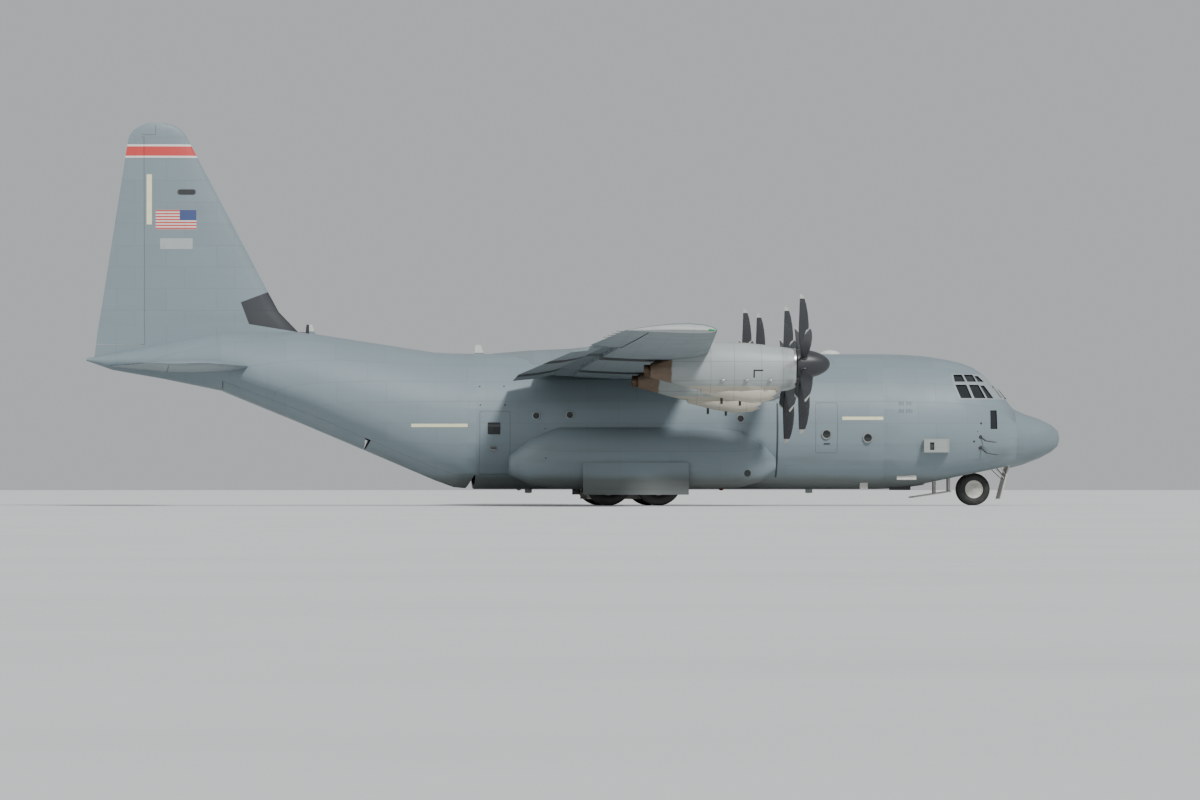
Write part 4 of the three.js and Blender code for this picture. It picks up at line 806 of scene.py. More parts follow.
def block(name: str, low: Place, high: Place, bevel: float = 0.0) -> Piece:
    """A block between two full-size corners, its edges rounded by a bevel in full-size metres."""
    first, last = spot(*low), spot(*high)
    piece = start(bpy.ops.mesh.primitive_cube_add, name, size=1, location=(first + last) / 2)
    piece.scale = [abs(value) for value in last - first]
    settle(piece)
    if bevel:
        modify(piece, "BEVEL", width=bevel * MODEL_SCALE, segments=2, limit_method="ANGLE")
    return piece


def rod(name: str, first: Place, last: Place, radius: float, sides: int = 12) -> Piece:
    """A round rod between two full-size places, with softened ends."""
    ends = spot(*first), spot(*last)
    along = ends[1] - ends[0]
    turn = along.to_track_quat("Z", "Y").to_euler()
    piece = start(bpy.ops.mesh.primitive_cylinder_add, name, vertices=sides, radius=radius * MODEL_SCALE,
                  depth=along.length, location=(ends[0] + ends[1]) / 2, rotation=turn)
    settle(piece)
    width = radius * MODEL_SCALE * 0.15
    modify(piece, "BEVEL", width=width, segments=1, limit_method="ANGLE", angle_limit=1.0)
    return piece


def lathe(
    name: str,
    profile: Iterable[Pair],
    centre: Place,
    axis: Axis,
    steps: int = 48,
) -> Piece:
    """A piece spun round an axis from an outline.

    Args:
        name: The piece's name.
        profile: Pairs of radius and distance along the axis, in full-size metres.
        centre: Where the distance along the axis is 0.
        axis: The axis of the spin.
        steps: Faces round the piece.

    Returns:
        The closed piece.
    """
    middle, along = spot(*centre), axis.value
    radial = Axis.X.value if axis is Axis.Z else Axis.Z.value
    points = [middle + (radial * radius + along * distance) * MODEL_SCALE for radius, distance in profile]
    piece = start(bpy.ops.mesh.primitive_plane_add, name, size=0.01, location=points[0])
    open_edit(piece)
    bpy.ops.mesh.merge(type="CENTER")
    for here, there in zip(points, points[1:]):
        bpy.ops.mesh.extrude_region_move(TRANSFORM_OT_translate={"value": there - here})
    bpy.ops.mesh.select_all(action="SELECT")
    bpy.ops.mesh.spin(steps=steps, angle=2 * math.pi, center=middle, axis=along)
    close_edit()
    settle(piece)
    clean(piece)
    return piece


def ring_of(piece: Piece, count: int, centre: Place, axis: Axis) -> Piece:
    """Repeats a piece evenly round an axis through a full-size place, and joins the copies to it."""
    middle = Matrix.Translation(spot(*centre))
    copies = []
    for number in range(1, count):
        turn = Matrix.Rotation(number * 2 * math.pi / count, 4, axis.value)
        copies.append(copied(piece, f"{piece.name}_{number}", middle @ turn @ middle.inverted()))
    return joined(piece.name, [piece, *copies])


def skin_plate(
    name: str,
    target: Piece,
    span: Span,
    thickness: float,
    cuts: int = 8,
    bevel: float = 0.0,
) -> Piece:
    """A thin plate that lies on the left side of a CAD skin, thrown onto it sideways.

    Args:
        name: The piece's name.
        target: The CAD node that it lies on.
        span: First and last station, lowest and highest point.
        thickness: How far it stands off the skin, in full-size metres.
        cuts: How finely it follows the skin.
        bevel: Radius of its corners.

    Returns:
        The plate.
    """
    first, last, foot, head = span
    middle = spot((first + last) / 2, 3.2, (foot + head) / 2)
    piece = start(bpy.ops.mesh.primitive_plane_add, name, size=1, location=middle,
                  rotation=(-math.pi / 2, 0, 0))
    piece.scale = ((last - first) * MODEL_SCALE, (head - foot) * MODEL_SCALE, 1)
    settle(piece)
    open_edit(piece)
    if bevel:
        bpy.ops.mesh.bevel(offset=bevel * MODEL_SCALE, segments=4, affect="VERTICES")
        bpy.ops.mesh.inset(thickness=bevel * MODEL_SCALE * 0.4)
        bpy.ops.mesh.select_all(action="SELECT")
        bpy.ops.mesh.quads_convert_to_tris()
    bpy.ops.mesh.subdivide(number_cuts=cuts)
    close_edit()
    modify(piece, "SHRINKWRAP", target=target, wrap_method="PROJECT", use_project_x=False, use_project_y=True,
           use_project_z=False, use_negative_direction=True, use_positive_direction=False)
    if sum(face.normal.y for face in piece.data.polygons) < 0:
        piece.data.flip_normals()
    modify(piece, "SOLIDIFY", thickness=thickness * MODEL_SCALE, offset=1)
    return piece


class Workshop:
    """Holds the frame's nodes and the finishes, and hands finished pieces over to the frame's bodies."""

    def __init__(self, nodes: dict[str, Piece]) -> None:
        """Builds every finish once.

        Args:
            nodes: The frame's CAD nodes by name.
        """
        self.nodes = nodes
        self.hull = HullPaint().build()
        self.wing = WingPaint().build()
        self.nacelle = NacellePaint().build()
        self.blade = BladePaint().build()
        self.rubber = TyreRubber().build()
        self.glass = TintedGlass().build()
        self.broad_smooth = 50.0
        self.cabin = MottledFinish("cabin_grey", (0.16, 0.17, 0.15), (0.10, 0.10, 0.09)).build()
        self.well = MottledFinish("well_pale", (0.52, 0.52, 0.47), (0.16, 0.15, 0.12), scale=4.0).build()
        self.steel = MottledFinish("machined_steel", (0.42, 0.42, 0.41), (0.16, 0.14, 0.11),
                                   (0.22, 0.40), 0.9, 14.0).build()
        self.burnt = MottledFinish("burnt_steel", (0.20, 0.135, 0.085), (0.05, 0.035, 0.028),
                                   (0.35, 0.6), 0.75, 7.0, (0.42, 0.62)).build()
        self.dark = MottledFinish("dark_moulding", (0.028, 0.029, 0.031), (0.07, 0.07, 0.068)).build()
        self.pale = MottledFinish("pale_moulding", (0.60, 0.60, 0.55), (0.38, 0.37, 0.33)).build()
        self.strip = MottledFinish("formation_strip", (0.76, 0.75, 0.50), (0.60, 0.59, 0.40),
                                   (0.25, 0.35)).build()
        self.chrome = MottledFinish("polished_rod", (0.72, 0.72, 0.72), (0.45, 0.44, 0.42),
                                    (0.08, 0.16), 1.0, 18.0).build()
        self.nacelle_grey = MottledFinish("pale_grey_paint", (0.36, 0.39, 0.40), (0.26, 0.28, 0.28)).build()
        self.red_lens = MottledFinish("red_lens", (0.42, 0.015, 0.012), (0.30, 0.01, 0.01),
                                      (0.08, 0.15)).build()
        self.green_lens = MottledFinish("green_lens", (0.01, 0.26, 0.08), (0.01, 0.18, 0.05),
                                        (0.08, 0.15)).build()
        self.lens = MottledFinish("clear_lens", (0.70, 0.72, 0.74), (0.55, 0.57, 0.60), (0.03, 0.07),
                                  0.6, 30.0).build()

    def dress(self, names: Iterable[str], finish: Finish, smooth: float = 34.0) -> None:
        """Gives CAD nodes a finish, and shades their facets smooth up to an angle in degrees."""
        for name in names:
            node = self.nodes[name]
            activate(node)
            bpy.ops.mesh.customdata_custom_splitnormals_clear()
            node.data.polygons.foreach_set("use_smooth", [True] * len(node.data.polygons))
            weld = node.modifiers.new("Weld", "WELD")
            weld.merge_threshold = 5e-5
            split = node.modifiers.new("Split", "EDGE_SPLIT")
            split.split_angle = math.radians(smooth)
            node.data.materials.clear()
            node.data.materials.append(finish)
            log.info("dressed %s", name)

    def hand_over(
        self,
        piece: Piece,
        finish: Finish,
        slot: str,
        body: str = "airframe",
        smooth: float = 35.0,
    ) -> None:
        """Finishes a piece and lets it ride on a body.

        Args:
            piece: The piece, in place.
            finish: Its material.
            slot: Not used.
            body: The CAD body that it moves with.
            smooth: Angle in degrees up to which its faces are shaded smooth.
        """
        settle(piece)
        bpy.ops.object.shade_smooth_by_angle(angle=math.radians(smooth))
        piece.data.materials.clear()
        piece.data.materials.append(finish)
        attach(piece, body)
        log.info("made %s on %s, %d faces", piece.name, body, len(piece.data.polygons))

    def pair(
        self,
        piece: Piece,
        finish: Finish,
        slot: str,
        body: str = "airframe",
        smooth: float = 35.0,
    ) -> None:
        """Hands over a left-hand piece and its mirrored copy.

        Args:
            piece: The left-hand piece; the sides' words are added to its name.
            finish: Its material.
            slot: Handed on to hand_over.
            body: The body's name, in which {side} stands for the side's word.
            smooth: Angle in degrees up to which its faces are shaded smooth.
        """
        stem = piece.name
        twin = copied(piece, f"{stem}_right", MIRROR)
        piece.name = f"{stem}_left"
        for side, item in ((Side.LEFT, piece), (Side.RIGHT, twin)):
            self.hand_over(item, finish, slot, body.format(side=side.word), smooth)

    def right_only(self, piece: Piece, finish: Finish, slot: str) -> None:
        """Mirrors a left-hand piece to the right side and hands it over."""
        piece.data.transform(MIRROR)
        piece.data.flip_normals()
        self.hand_over(piece, finish, slot)


@dataclass(frozen=True)
class Plate:
    """A thin plate on each side of a CAD skin: where it lies, its thickness and its corners' radius."""

    name: str
    node: str
    span: Span
    thickness: float
    finish: str
    cuts: int = 3
    corner: float = 0.0
    slot: str = "hull_paint"


@dataclass
class Hull:
    """The fuselage, tail and gear housings with what is fastened to them."""

    shop: Workshop
    plates: tuple[Plate, ...] = (
        Plate("strip_centre_fuselage", "centre_fuselage", (5.63, 6.88, 2.60, 2.70), 0.008, "strip", 5),
        Plate("strip_aft_fuselage", "aft_fuselage", (18.27, 19.97, 2.38, 2.48), 0.008, "strip", 5),
        Plate("strip_fin", "fin", (27.80, 27.96, 8.56, 10.09), 0.008, "strip", 5),
        Plate("door_window", "para_door_left", (17.28, 17.66, 2.16, 2.52), 0.006, "glass", 4, 0.025,
              "glass_tinted"),
        Plate("sponson_port", "sponson_left", (9.70, 9.90, 0.88, 1.08), 0.006, "dark", corner=0.085),
        Plate("handle_plate", "para_door_left", (17.36, 17.58, 1.66, 1.80), 0.005, "steel", corner=0.03),
        Plate("fin_cover", "fin", (26.47, 27.02, 9.48, 9.63), 0.02, "dark", corner=0.07),
        Plate("fin_plate", "fin", (26.56, 27.55, 7.81, 8.14), 0.004, "nacelle_grey", corner=0.03),
    )
    porthole: Pair = (6.10, 2.06)
    hatch_window: Pair = (7.36, 2.17)
    vents: tuple[Pair, ...] = ((9.98, 2.64), (15.17, 2.75), (16.19, 2.73))
    hatch_handle: Span = (7.25, 7.44, 1.865, 1.895)
    # First and last station and height of the bar on each paratroop door's handle plate
    handle_bar: Place = (17.39, 17.55, 1.73)
    skin_side: float = 2.155
    pane_radius: float = 0.11
    probes: tuple[tuple[Place, Place, Place], ...] = (
        ((2.62, 1.735, 2.09), (2.47, 1.87, 1.97), (2.22, 1.89, 1.93)),
        ((2.62, 1.675, 1.77), (2.44, 1.84, 1.60), (2.17, 1.86, 1.55)),
    )
    # First and last station and height of the hold's floor
    hold: Place = (5.70, 17.90, 1.03)
    rail_rows: tuple[float, ...] = (0.30, 0.78)
    ring_rows: tuple[float, ...] = (0.54, 1.12)
    ring_pitch: float = 1.016
    # Name, station and finish of the lamps under the belly
    belly_lamps: tuple[tuple[str, float, str], ...] = (
        ("belly_lamp_10", 10.40, "red_lens"), ("belly_lamp_16", 16.6, "lens"))
    # Name, lowest and highest corner, share of its length at the foot, and finish
    small_parts: tuple[tuple[str, Place, Place, float, str], ...] = (
        ("flat_aerial", (4.64, -0.62, 0.470), (5.28, -0.36, 0.64), 0.86, "dark"),
        ("belly_sensor", (6.00, -1.10, 0.50), (6.24, -0.90, 0.70), 0.6, "pale"),
        ("belly_strake", (4.55, -1.47, 0.78), (5.15, -1.43, 0.95), 0.9, "pale"),
        # A dark block in the sensor housing's opening: painted shade for its hole
        ("sensor_liner", (4.085, -2.185, 1.695), (4.205, -2.155, 1.915), 1.0, "dark"),
        ("blade_aerial", (7.60, -0.012, 0.38), (7.82, 0.012, 0.52), 0.6, "nacelle_grey"),
        ("rear_blade_aerial", (16.20, -0.012, 0.38), (16.42, 0.012, 0.52), 0.6, "nacelle_grey"),
    )

    def build(self) -> None:
        """Dresses the CAD skins and adds plates, windows, probes and outlets."""
        self._skins()
        self._plates()
        self._windows()
        self._vents()
        self._pitots()
        self._wipers()
        self._door_handles()
        self._belly_fittings()
        self._hold_fittings()

    def _skins(self) -> None:
        """Paints the CAD pieces of the hull, the tail and the inside."""
        shop = self.shop
        skins = ["radome", "nose_section", "centre_fuselage", "aft_fuselage", "tail_cone", "crew_door",
                 "cargo_ramp", "cargo_door", "fin", "rudder", "tailplane"]
        for side in Side:
            parts = ("sponson", "para_door", "outer_gear_door", "elevator")
            skins += [f"{part}_{side.word}" for part in parts]
            shop.dress([f"inner_gear_door_{side.word}"], shop.well)
        shop.dress(skins, shop.hull, shop.broad_smooth)
        shop.dress(["cockpit_glass"], shop.glass)
        shop.dress(["flight_deck", "cargo_floor"], shop.cabin)
        shop.dress(["nose_bay", "nose_door_front", "nose_door_rear"], shop.well)

    def _plates(self) -> None:
        """Light strips, door windows and handles, the housings' ports, and the fin's cover and plate."""
        for plate in self.plates:
            node = self.shop.nodes[plate.node]
            piece = skin_plate(plate.name, node, plate.span, plate.thickness, plate.cuts, plate.corner)
            self.shop.pair(piece, getattr(self.shop, plate.finish), plate.slot)

    def _windows(self) -> None:
        """The front portholes and the hatch window on the right."""
        shop = self.shop
        for name, (station, height) in (("porthole", self.porthole), ("hatch_window", self.hatch_window)):
            radius, centre = self.pane_radius, (station, self.skin_side, height)
            outline = [(radius, -0.08), (radius + 0.01, 0.006), (radius + 0.04, 0.010),
                       (radius + 0.05, -0.08), (radius, -0.08)]
            rim = lathe(f"{name}_rim", outline, centre, Axis.Y, 32)
            outline = [(0.0, 0.004), (0.06, 0.003), (radius, -0.002), (radius, -0.08), (0.0, -0.08)]
            pane = lathe(f"{name}_pane", outline, centre, Axis.Y, 32)
            if name == "porthole":
                shop.pair(rim, shop.steel, "hull_paint")
                shop.pair(pane, shop.glass, "glass_tinted")
            else:
                shop.right_only(rim, shop.steel, "hull_paint")
                shop.right_only(pane, shop.glass, "hull_paint")

    def _vents(self) -> None:
        """Round dark outlets with pale rims along the sides."""
        for number, (station, height) in enumerate(self.vents, 1):
            centre = (station, self.skin_side, height)
            outline = [(0.0, 0.002), (0.05, 0.001), (0.098, 0.004), (0.098, -0.03), (0.0, -0.03)]
            dish = lathe(f"vent_{number}", outline, centre, Axis.Y, 28)
            self.shop.pair(dish, self.shop.dark, "hull_paint")
            outline = [(0.098, -0.03), (0.100, 0.012), (0.108, 0.016), (0.118, 0.008), (0.120, -0.03),
                       (0.098, -0.03)]
            rim = lathe(f"vent_rim_{number}", outline, centre, Axis.Y, 28)
            self.shop.pair(rim, self.shop.nacelle_grey, "hull_paint")

    def _pitots(self) -> None:
        """Two bent pressure probes on each side of the nose, on round feet."""
        for number, (foot, elbow, tip) in enumerate(self.probes, 1):
            mast = rod("mast", foot, elbow, 0.020)
            tube = rod("tube", (elbow[0] + 0.012, *elbow[1:]), tip, 0.015)
            point = lathe("point", [(0.0, -0.01), (0.015, 0.0), (0.007, 0.09), (0.0, 0.09)], tip, Axis.X, 12)
            base = lathe("base", [(0.0, -0.02), (0.055, -0.02), (0.055, 0.045), (0.03, 0.065), (0.0, 0.065)],
                         foot, Axis.Y, 18)
            probe = joined(f"pressure_probe_{number}", [mast, tube, point, base])
            self.shop.pair(probe, self.shop.dark, "hull_paint")

    def _wipers(self) -> None:
        """A wiper on each windscreen."""
        arm = rod("arm", (1.700, 0.30, 3.285), (1.860, 0.36, 3.475), 0.011, 8)
        pivot = rod("pivot", (1.730, 0.30, 3.245), (1.685, 0.30, 3.290), 0.026, 12)
        blade = rod("blade", (1.775, 0.26, 3.385), (1.935, 0.46, 3.545), 0.009, 6)
        self.shop.pair(joined("wiper", [arm, pivot, blade]), self.shop.dark, "hull_paint")

    def _door_handles(self) -> None:
        """The bar on each paratroop door's handle plate, and the right hatch's grip."""
        grip = skin_plate("hatch_grip", self.shop.nodes["centre_fuselage"], self.hatch_handle, 0.012, 2)
        self.shop.right_only(grip, self.shop.dark, "hull_paint")
        front, rear, height = self.handle_bar
        out = self.skin_side - 0.06
        bar = rod("handle_bar", (front, out, height), (rear, out, height), 0.014)
        self.shop.pair(bar, self.shop.dark, "hull_paint")

    def _belly_fittings(self) -> None:
        """Aerials, a sensor, a strake, two belly lamps, and painted shade in the sensor housing's hole."""
        shop = self.shop
        for name, low, high, narrow, finish in self.small_parts:
            part = block(name, low, high, 0.012)
            middle = spot((low[0] + high[0]) / 2, (low[1] + high[1]) / 2, low[2])
            open_faces(part, lambda face: face.normal.z < -0.9)
            bpy.ops.transform.resize(value=(narrow, 0.8, 1), center_override=middle)
            close_edit()
            shop.hand_over(part, getattr(shop, finish), "hull_paint")
        for name, station, finish in self.belly_lamps:
            outline = [(0.0, -0.035), (0.045, -0.028), (0.07, 0.0), (0.075, 0.03), (0.0, 0.03)]
            lamp = lathe(name, outline, (station, 0.0, 0.49), Axis.Z, 24)
            shop.hand_over(lamp, getattr(shop, finish), "hull_paint")

    def _hold_fittings(self) -> None:
        """Guide rails, lengthwise runners and lashing rings on the hold's floor."""
        shop = self.shop
        first, last, top = self.hold
        web = block("guide_rail", (first, 1.36, top - 0.01), (last, 1.42, top + 0.09), 0.006)
        lip = block("lip", (first, 1.29, top + 0.07), (last, 1.40, top + 0.10), 0.006)
        runners = [block("runner", (first, row, top - 0.01), (last, row + 0.10, top + 0.02), 0.006)
                   for row in self.rail_rows]
        shop.pair(joined("guide_rail", [web, lip, *runners]), shop.nacelle_grey, "cabin_grey")
        centre = (first + 0.4, 0.0, top)
        outline = [(0.0, -0.01), (0.055, -0.01), (0.055, 0.003), (0.0, 0.003)]
        cup = lathe("lashing_ring", outline, centre, Axis.Z, 12)
        outline = [(0.030, 0.002), (0.032, 0.014), (0.044, 0.014), (0.046, 0.002), (0.030, 0.002)]
        ring = lathe("ring", outline, centre, Axis.Z, 12)
        pattern = joined("lashing_ring", [cup, ring])
        count = int((last - first - 0.6) / self.ring_pitch) + 1
        places = [(number * self.ring_pitch, row) for number in range(count) for row in self.ring_rows]
        rings = [copied(pattern, f"ring_{number}", shifted(along, row))
                 for number, (along, row) in enumerate(places[1:])]
        pattern.data.transform(shifted(*places[0]))
        shop.pair(joined("lashing_ring", [pattern, *rings]), shop.steel, "cabin_grey")


@dataclass
class Wing:
    """The wings, flaps and ailerons with lights and static wicks."""

    shop: Workshop
    aileron_ends: Pair = (14.15, 19.85)
    elevator_ends: Pair = (1.0, 7.65)
    wick_length: float = 0.16
    tip_light: Place = (12.30, 20.14, 4.985)
    tip_light_size: Place = (0.13, 0.055, 0.032)
    landing_light: Place = (13.05, 13.1, 4.47)

    def build(self) -> None:
        """Paints the CAD pieces and adds the small parts."""
        parts = ("outer_wing", "aileron", "inner_flap", "outer_flap")
        names = [f"{part}_{side.word}" for side in Side for part in parts]
        self.shop.dress(["centre_wing", *names], self.shop.wing, self.shop.broad_smooth)
        self._wicks("aileron", self.aileron_ends, (0.55, 0.68, 0.81, 0.94))
        self._wicks("elevator", self.elevator_ends, (0.50, 0.64, 0.78, 0.92))
        self._tip_lights()
        self._landing_lights()

    def _wicks(self, surface: str, ends: Pair, shares: Sequence[float]) -> None:
        """Thin static wicks behind a hinged surface's rear edge.

        Args:
            surface: The left node's and body's name without its side.
            ends: Distances from the centre line of the surface's two ends.
            shares: Where the wicks stand, as shares of the way out.
        """
        corners = []
        for end in ends:
            points = [vertex.co for vertex in self.shop.nodes[f"{surface}_left"].data.vertices
                      if abs(vertex.co.y - end * MODEL_SCALE) < 1e-3]
            corners.append(min(points, key=lambda point: point.x))
        wicks = []
        for share in shares:
            edge = corners[0].lerp(corners[1], share) / MODEL_SCALE
            station = NOSE_X - edge.x
            end = (station + self.wick_length, edge.y, edge.z)
            wicks.append(rod("wick", (station - 0.03, edge.y, edge.z), end, 0.007, 6))
        row = joined(f"{surface}_wicks", wicks)
        self.shop.pair(row, self.shop.dark, "wing_paint", f"{surface}_{{side}}")

    def _tip_lights(self) -> None:
        """A red lens on the left wing's tip and a green one on the right."""
        lens = start(bpy.ops.mesh.primitive_uv_sphere_add, "tip_light", segments=24, ring_count=12, radius=1,
                     location=spot(*self.tip_light))
        lens.scale = [value * MODEL_SCALE for value in self.tip_light_size]
        settle(lens)
        twin = copied(lens, "tip_light_right", MIRROR)
        lens.name = "tip_light_left"
        self.shop.hand_over(lens, self.shop.red_lens, "wing_paint")
        self.shop.hand_over(twin, self.shop.green_lens, "wing_paint")

    def _landing_lights(self) -> None:
        """A round lamp under each outer wing."""
        centre = self.landing_light
        outline = [(0.0, 0.0), (0.13, 0.0), (0.14, 0.03), (0.14, 0.16), (0.0, 0.16)]
        housing = lathe("landing_light_housing", outline, centre, Axis.Z, 28)
        self.shop.pair(housing, self.shop.steel, "wing_paint")
        lens = lathe("landing_light_lens", [(0.0, -0.012), (0.08, -0.009), (0.12, 0.001), (0.0, 0.002)],
                     centre, Axis.Z, 28)
        self.shop.pair(lens, self.shop.lens, "wing_paint")


@dataclass
class Engines:
    """The four nacelles and engine blocks with their jet pipe nozzles, masts and latches."""

    shop: Workshop
    pipe_end: float = 13.45
    pipe_radius: float = 0.15
    pipe_drop: float = 0.20
    front: float = 9.03
    # Station, drop under the thrust line and length of each drain mast
    masts: tuple[Place, ...] = ((10.62, 1.10, 0.13), (11.16, 0.98, 0.20))
    latch_stations: tuple[float, ...] = (9.75, 10.45, 11.15)

    def build(self) -> None:
        """Paints the CAD pieces and adds the small parts."""
        shop = self.shop
        shop.dress([f"nacelle_{number}" for number in range(1, 5)], shop.nacelle, shop.broad_smooth)
        shop.dress([f"engine_{number}" for number in range(1, 5)], shop.burnt)
        for thrust_line in THRUST_LINES:
            for add in (self._nozzle, self._masts, self._intake_lip, self._latches):
                add(*thrust_line)

    def _nozzle(self, word: str, out: float, up: float) -> None:
        """A flared ring round the end of the jet pipe."""
        radius = self.pipe_radius
        outline = [(radius + 0.002, 0.16), (radius + 0.022, 0.15), (radius + 0.026, 0.0),
                   (radius + 0.012, -0.03), (radius - 0.012, -0.03), (radius - 0.018, 0.02),
                   (radius - 0.018, 0.12), (radius + 0.002, 0.16)]
        ring = lathe(f"nozzle_{word}", outline, (self.pipe_end, out, up - self.pipe_drop), Axis.X, 40)
        self.shop.pair(ring, self.shop.burnt, "engine_metal")

    def _masts(self, word: str, out: float, up: float) -> None:
        """Slanted drain masts under the oil cooler duct."""
        parts = []
        for station, drop, length in self.masts:
            mast = block("mast", (station, out - 0.014, up - drop - length),
                         (station + 0.07, out + 0.014, up - drop + 0.06), 0.006)
            open_faces(mast, lambda face: face.normal.z < -0.9)
            bpy.ops.transform.translate(value=(-0.05 * MODEL_SCALE, 0, 0))
            close_edit()
            parts.append(mast)
        self.shop.pair(joined(f"drain_masts_{word}", parts), self.shop.dark, "nacelle_paint")

    def _intake_lip(self, word: str, out: float, up: float) -> None:
        """A bare metal ring behind the spinner."""
        outline = [(0.445, 0.012), (0.462, 0.006), (0.466, -0.05), (0.445, -0.05), (0.445, 0.012)]
        ring = lathe(f"front_ring_{word}", outline, (self.front, out, up), Axis.X, 56)
        self.shop.pair(ring, self.shop.steel, "nacelle_paint")

    def _latches(self, word: str, out: float, up: float) -> None:
        """Small latches along the cowl's lower joint, on both its sides."""
        latches = []
        for sign in (1, -1):
            near, far = out + sign * 0.565, out + sign * 0.63
            latches += [block("latch", (station, near, up - 0.53), (station + 0.12, far, up - 0.47), 0.008)
                        for station in self.latch_stations]
        self.shop.pair(joined(f"latches_{word}", latches), self.shop.steel, "nacelle_paint")


@dataclass
class Propellers:
    """Four six-bladed propellers with swept blades."""

    shop: Workshop
    station: float = 8.79
    spinner_tip: float = 8.00
    spinner_base: float = 8.999
    spinner_radius: float = 0.44
    blades: int = 6
    # Radius, chord, thickness, pitch in degrees and rearward sweep of each blade section
    sections: tuple[tuple[float, float, float, float, float], ...] = (
        (0.36, 0.170, 0.150, 70, 0.000),
        (0.50, 0.200, 0.130, 66, 0.000),
        (0.66, 0.310, 0.085, 61, -0.005),
        (0.90, 0.400, 0.058, 54, -0.020),
        (1.20, 0.430, 0.044, 48, -0.030),
        (1.50, 0.410, 0.034, 43, -0.020),
        (1.75, 0.350, 0.026, 40, 0.010),
        (1.92, 0.265, 0.019, 38, 0.050),
        (2.02, 0.160, 0.013, 37, 0.090),
        (2.053, 0.070, 0.008, 37, 0.115),
    )

    def build(self) -> None:
        """Builds one propeller and copies it to the four hubs."""
        blades = ring_of(self._blade(), self.blades, (self.station, 0.0, 0.0), Axis.X)
        model = joined("propeller", [blades, self._spinner(), self._cuffs()])
        (_, inner_out, inner_up), (_, outer_out, outer_up) = THRUST_LINES
        hubs = ((outer_out, outer_up), (inner_out, inner_up), (-inner_out, inner_up), (-outer_out, outer_up))
        for number, (out, up) in enumerate(hubs, 1):
            piece = copied(model, f"propeller_{number}_finished", shifted(0.0, out, up))
            self.shop.hand_over(piece, self.shop.blade, "propeller_dark", f"propeller_{number}")
            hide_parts(f"propeller_{number}")
        bpy.data.objects.remove(model)

    def _spinner(self) -> Piece:
        """A rounded spinner with a flat back."""
        length, steps = self.spinner_base - self.spinner_tip, 14
        profile = [(0.0, 0.0), (self.spinner_radius * 0.97, 0.0)]
        for index in range(steps + 1):
            turn = math.pi / 2 * index / steps
            profile.append((self.spinner_radius * math.cos(turn), 0.012 + (length - 0.012) * math.sin(turn)))
        return lathe("spinner", profile, (self.spinner_base, 0.0, 0.0), Axis.X, 48)

    def _cuffs(self) -> Piece:
        """Round seals where the blades leave the spinner."""
        centre = (self.station, 0.0, 0.0)
        outline = [(0.09, 0.37), (0.115, 0.40), (0.115, 0.438), (0.10, 0.455), (0.08, 0.455)]
        return ring_of(lathe("cuff", outline, centre, Axis.Z, 20), self.blades, centre, Axis.X)

    def _blade(self) -> Piece:
        """One upright blade, drawn out from its round root section by section."""
        middle = spot(self.station, 0.0, 0.0)
        foot = self.sections[0][0]
        piece = start(bpy.ops.mesh.primitive_circle_add, "blade", vertices=20, radius=0.5 * MODEL_SCALE,
                      fill_type="NGON", location=middle + Vector((0, 0, foot * MODEL_SCALE)))
        settle(piece)
        open_edit(piece)
        size = Vector((1.0, 1.0))
        angle = 0.0
        place = Vector((0.0, 0.0))
        height = foot
        for radius, chord, thickness, pitch, sweep in self.sections:
            if radius > height:
                bpy.ops.mesh.extrude_region_move(
                    TRANSFORM_OT_translate={"value": (0, 0, (radius - height) * MODEL_SCALE)})
            height = radius
            centre = middle + Vector((place.x, place.y, radius * MODEL_SCALE))
            bpy.ops.transform.rotate(value=angle, orient_axis="Z", center_override=centre)
            bpy.ops.transform.resize(value=(chord / size.x, thickness / size.y, 1), center_override=centre)
            angle = math.radians(90 - pitch)
            bpy.ops.transform.rotate(value=-angle, orient_axis="Z", center_override=centre)
            size = Vector((chord, thickness))
            aim = Vector((-math.cos(angle), -math.sin(angle))) * sweep * MODEL_SCALE
            bpy.ops.transform.translate(value=(*(aim - place), 0))
            place = aim
        close_edit()
        clean(piece)
        return piece


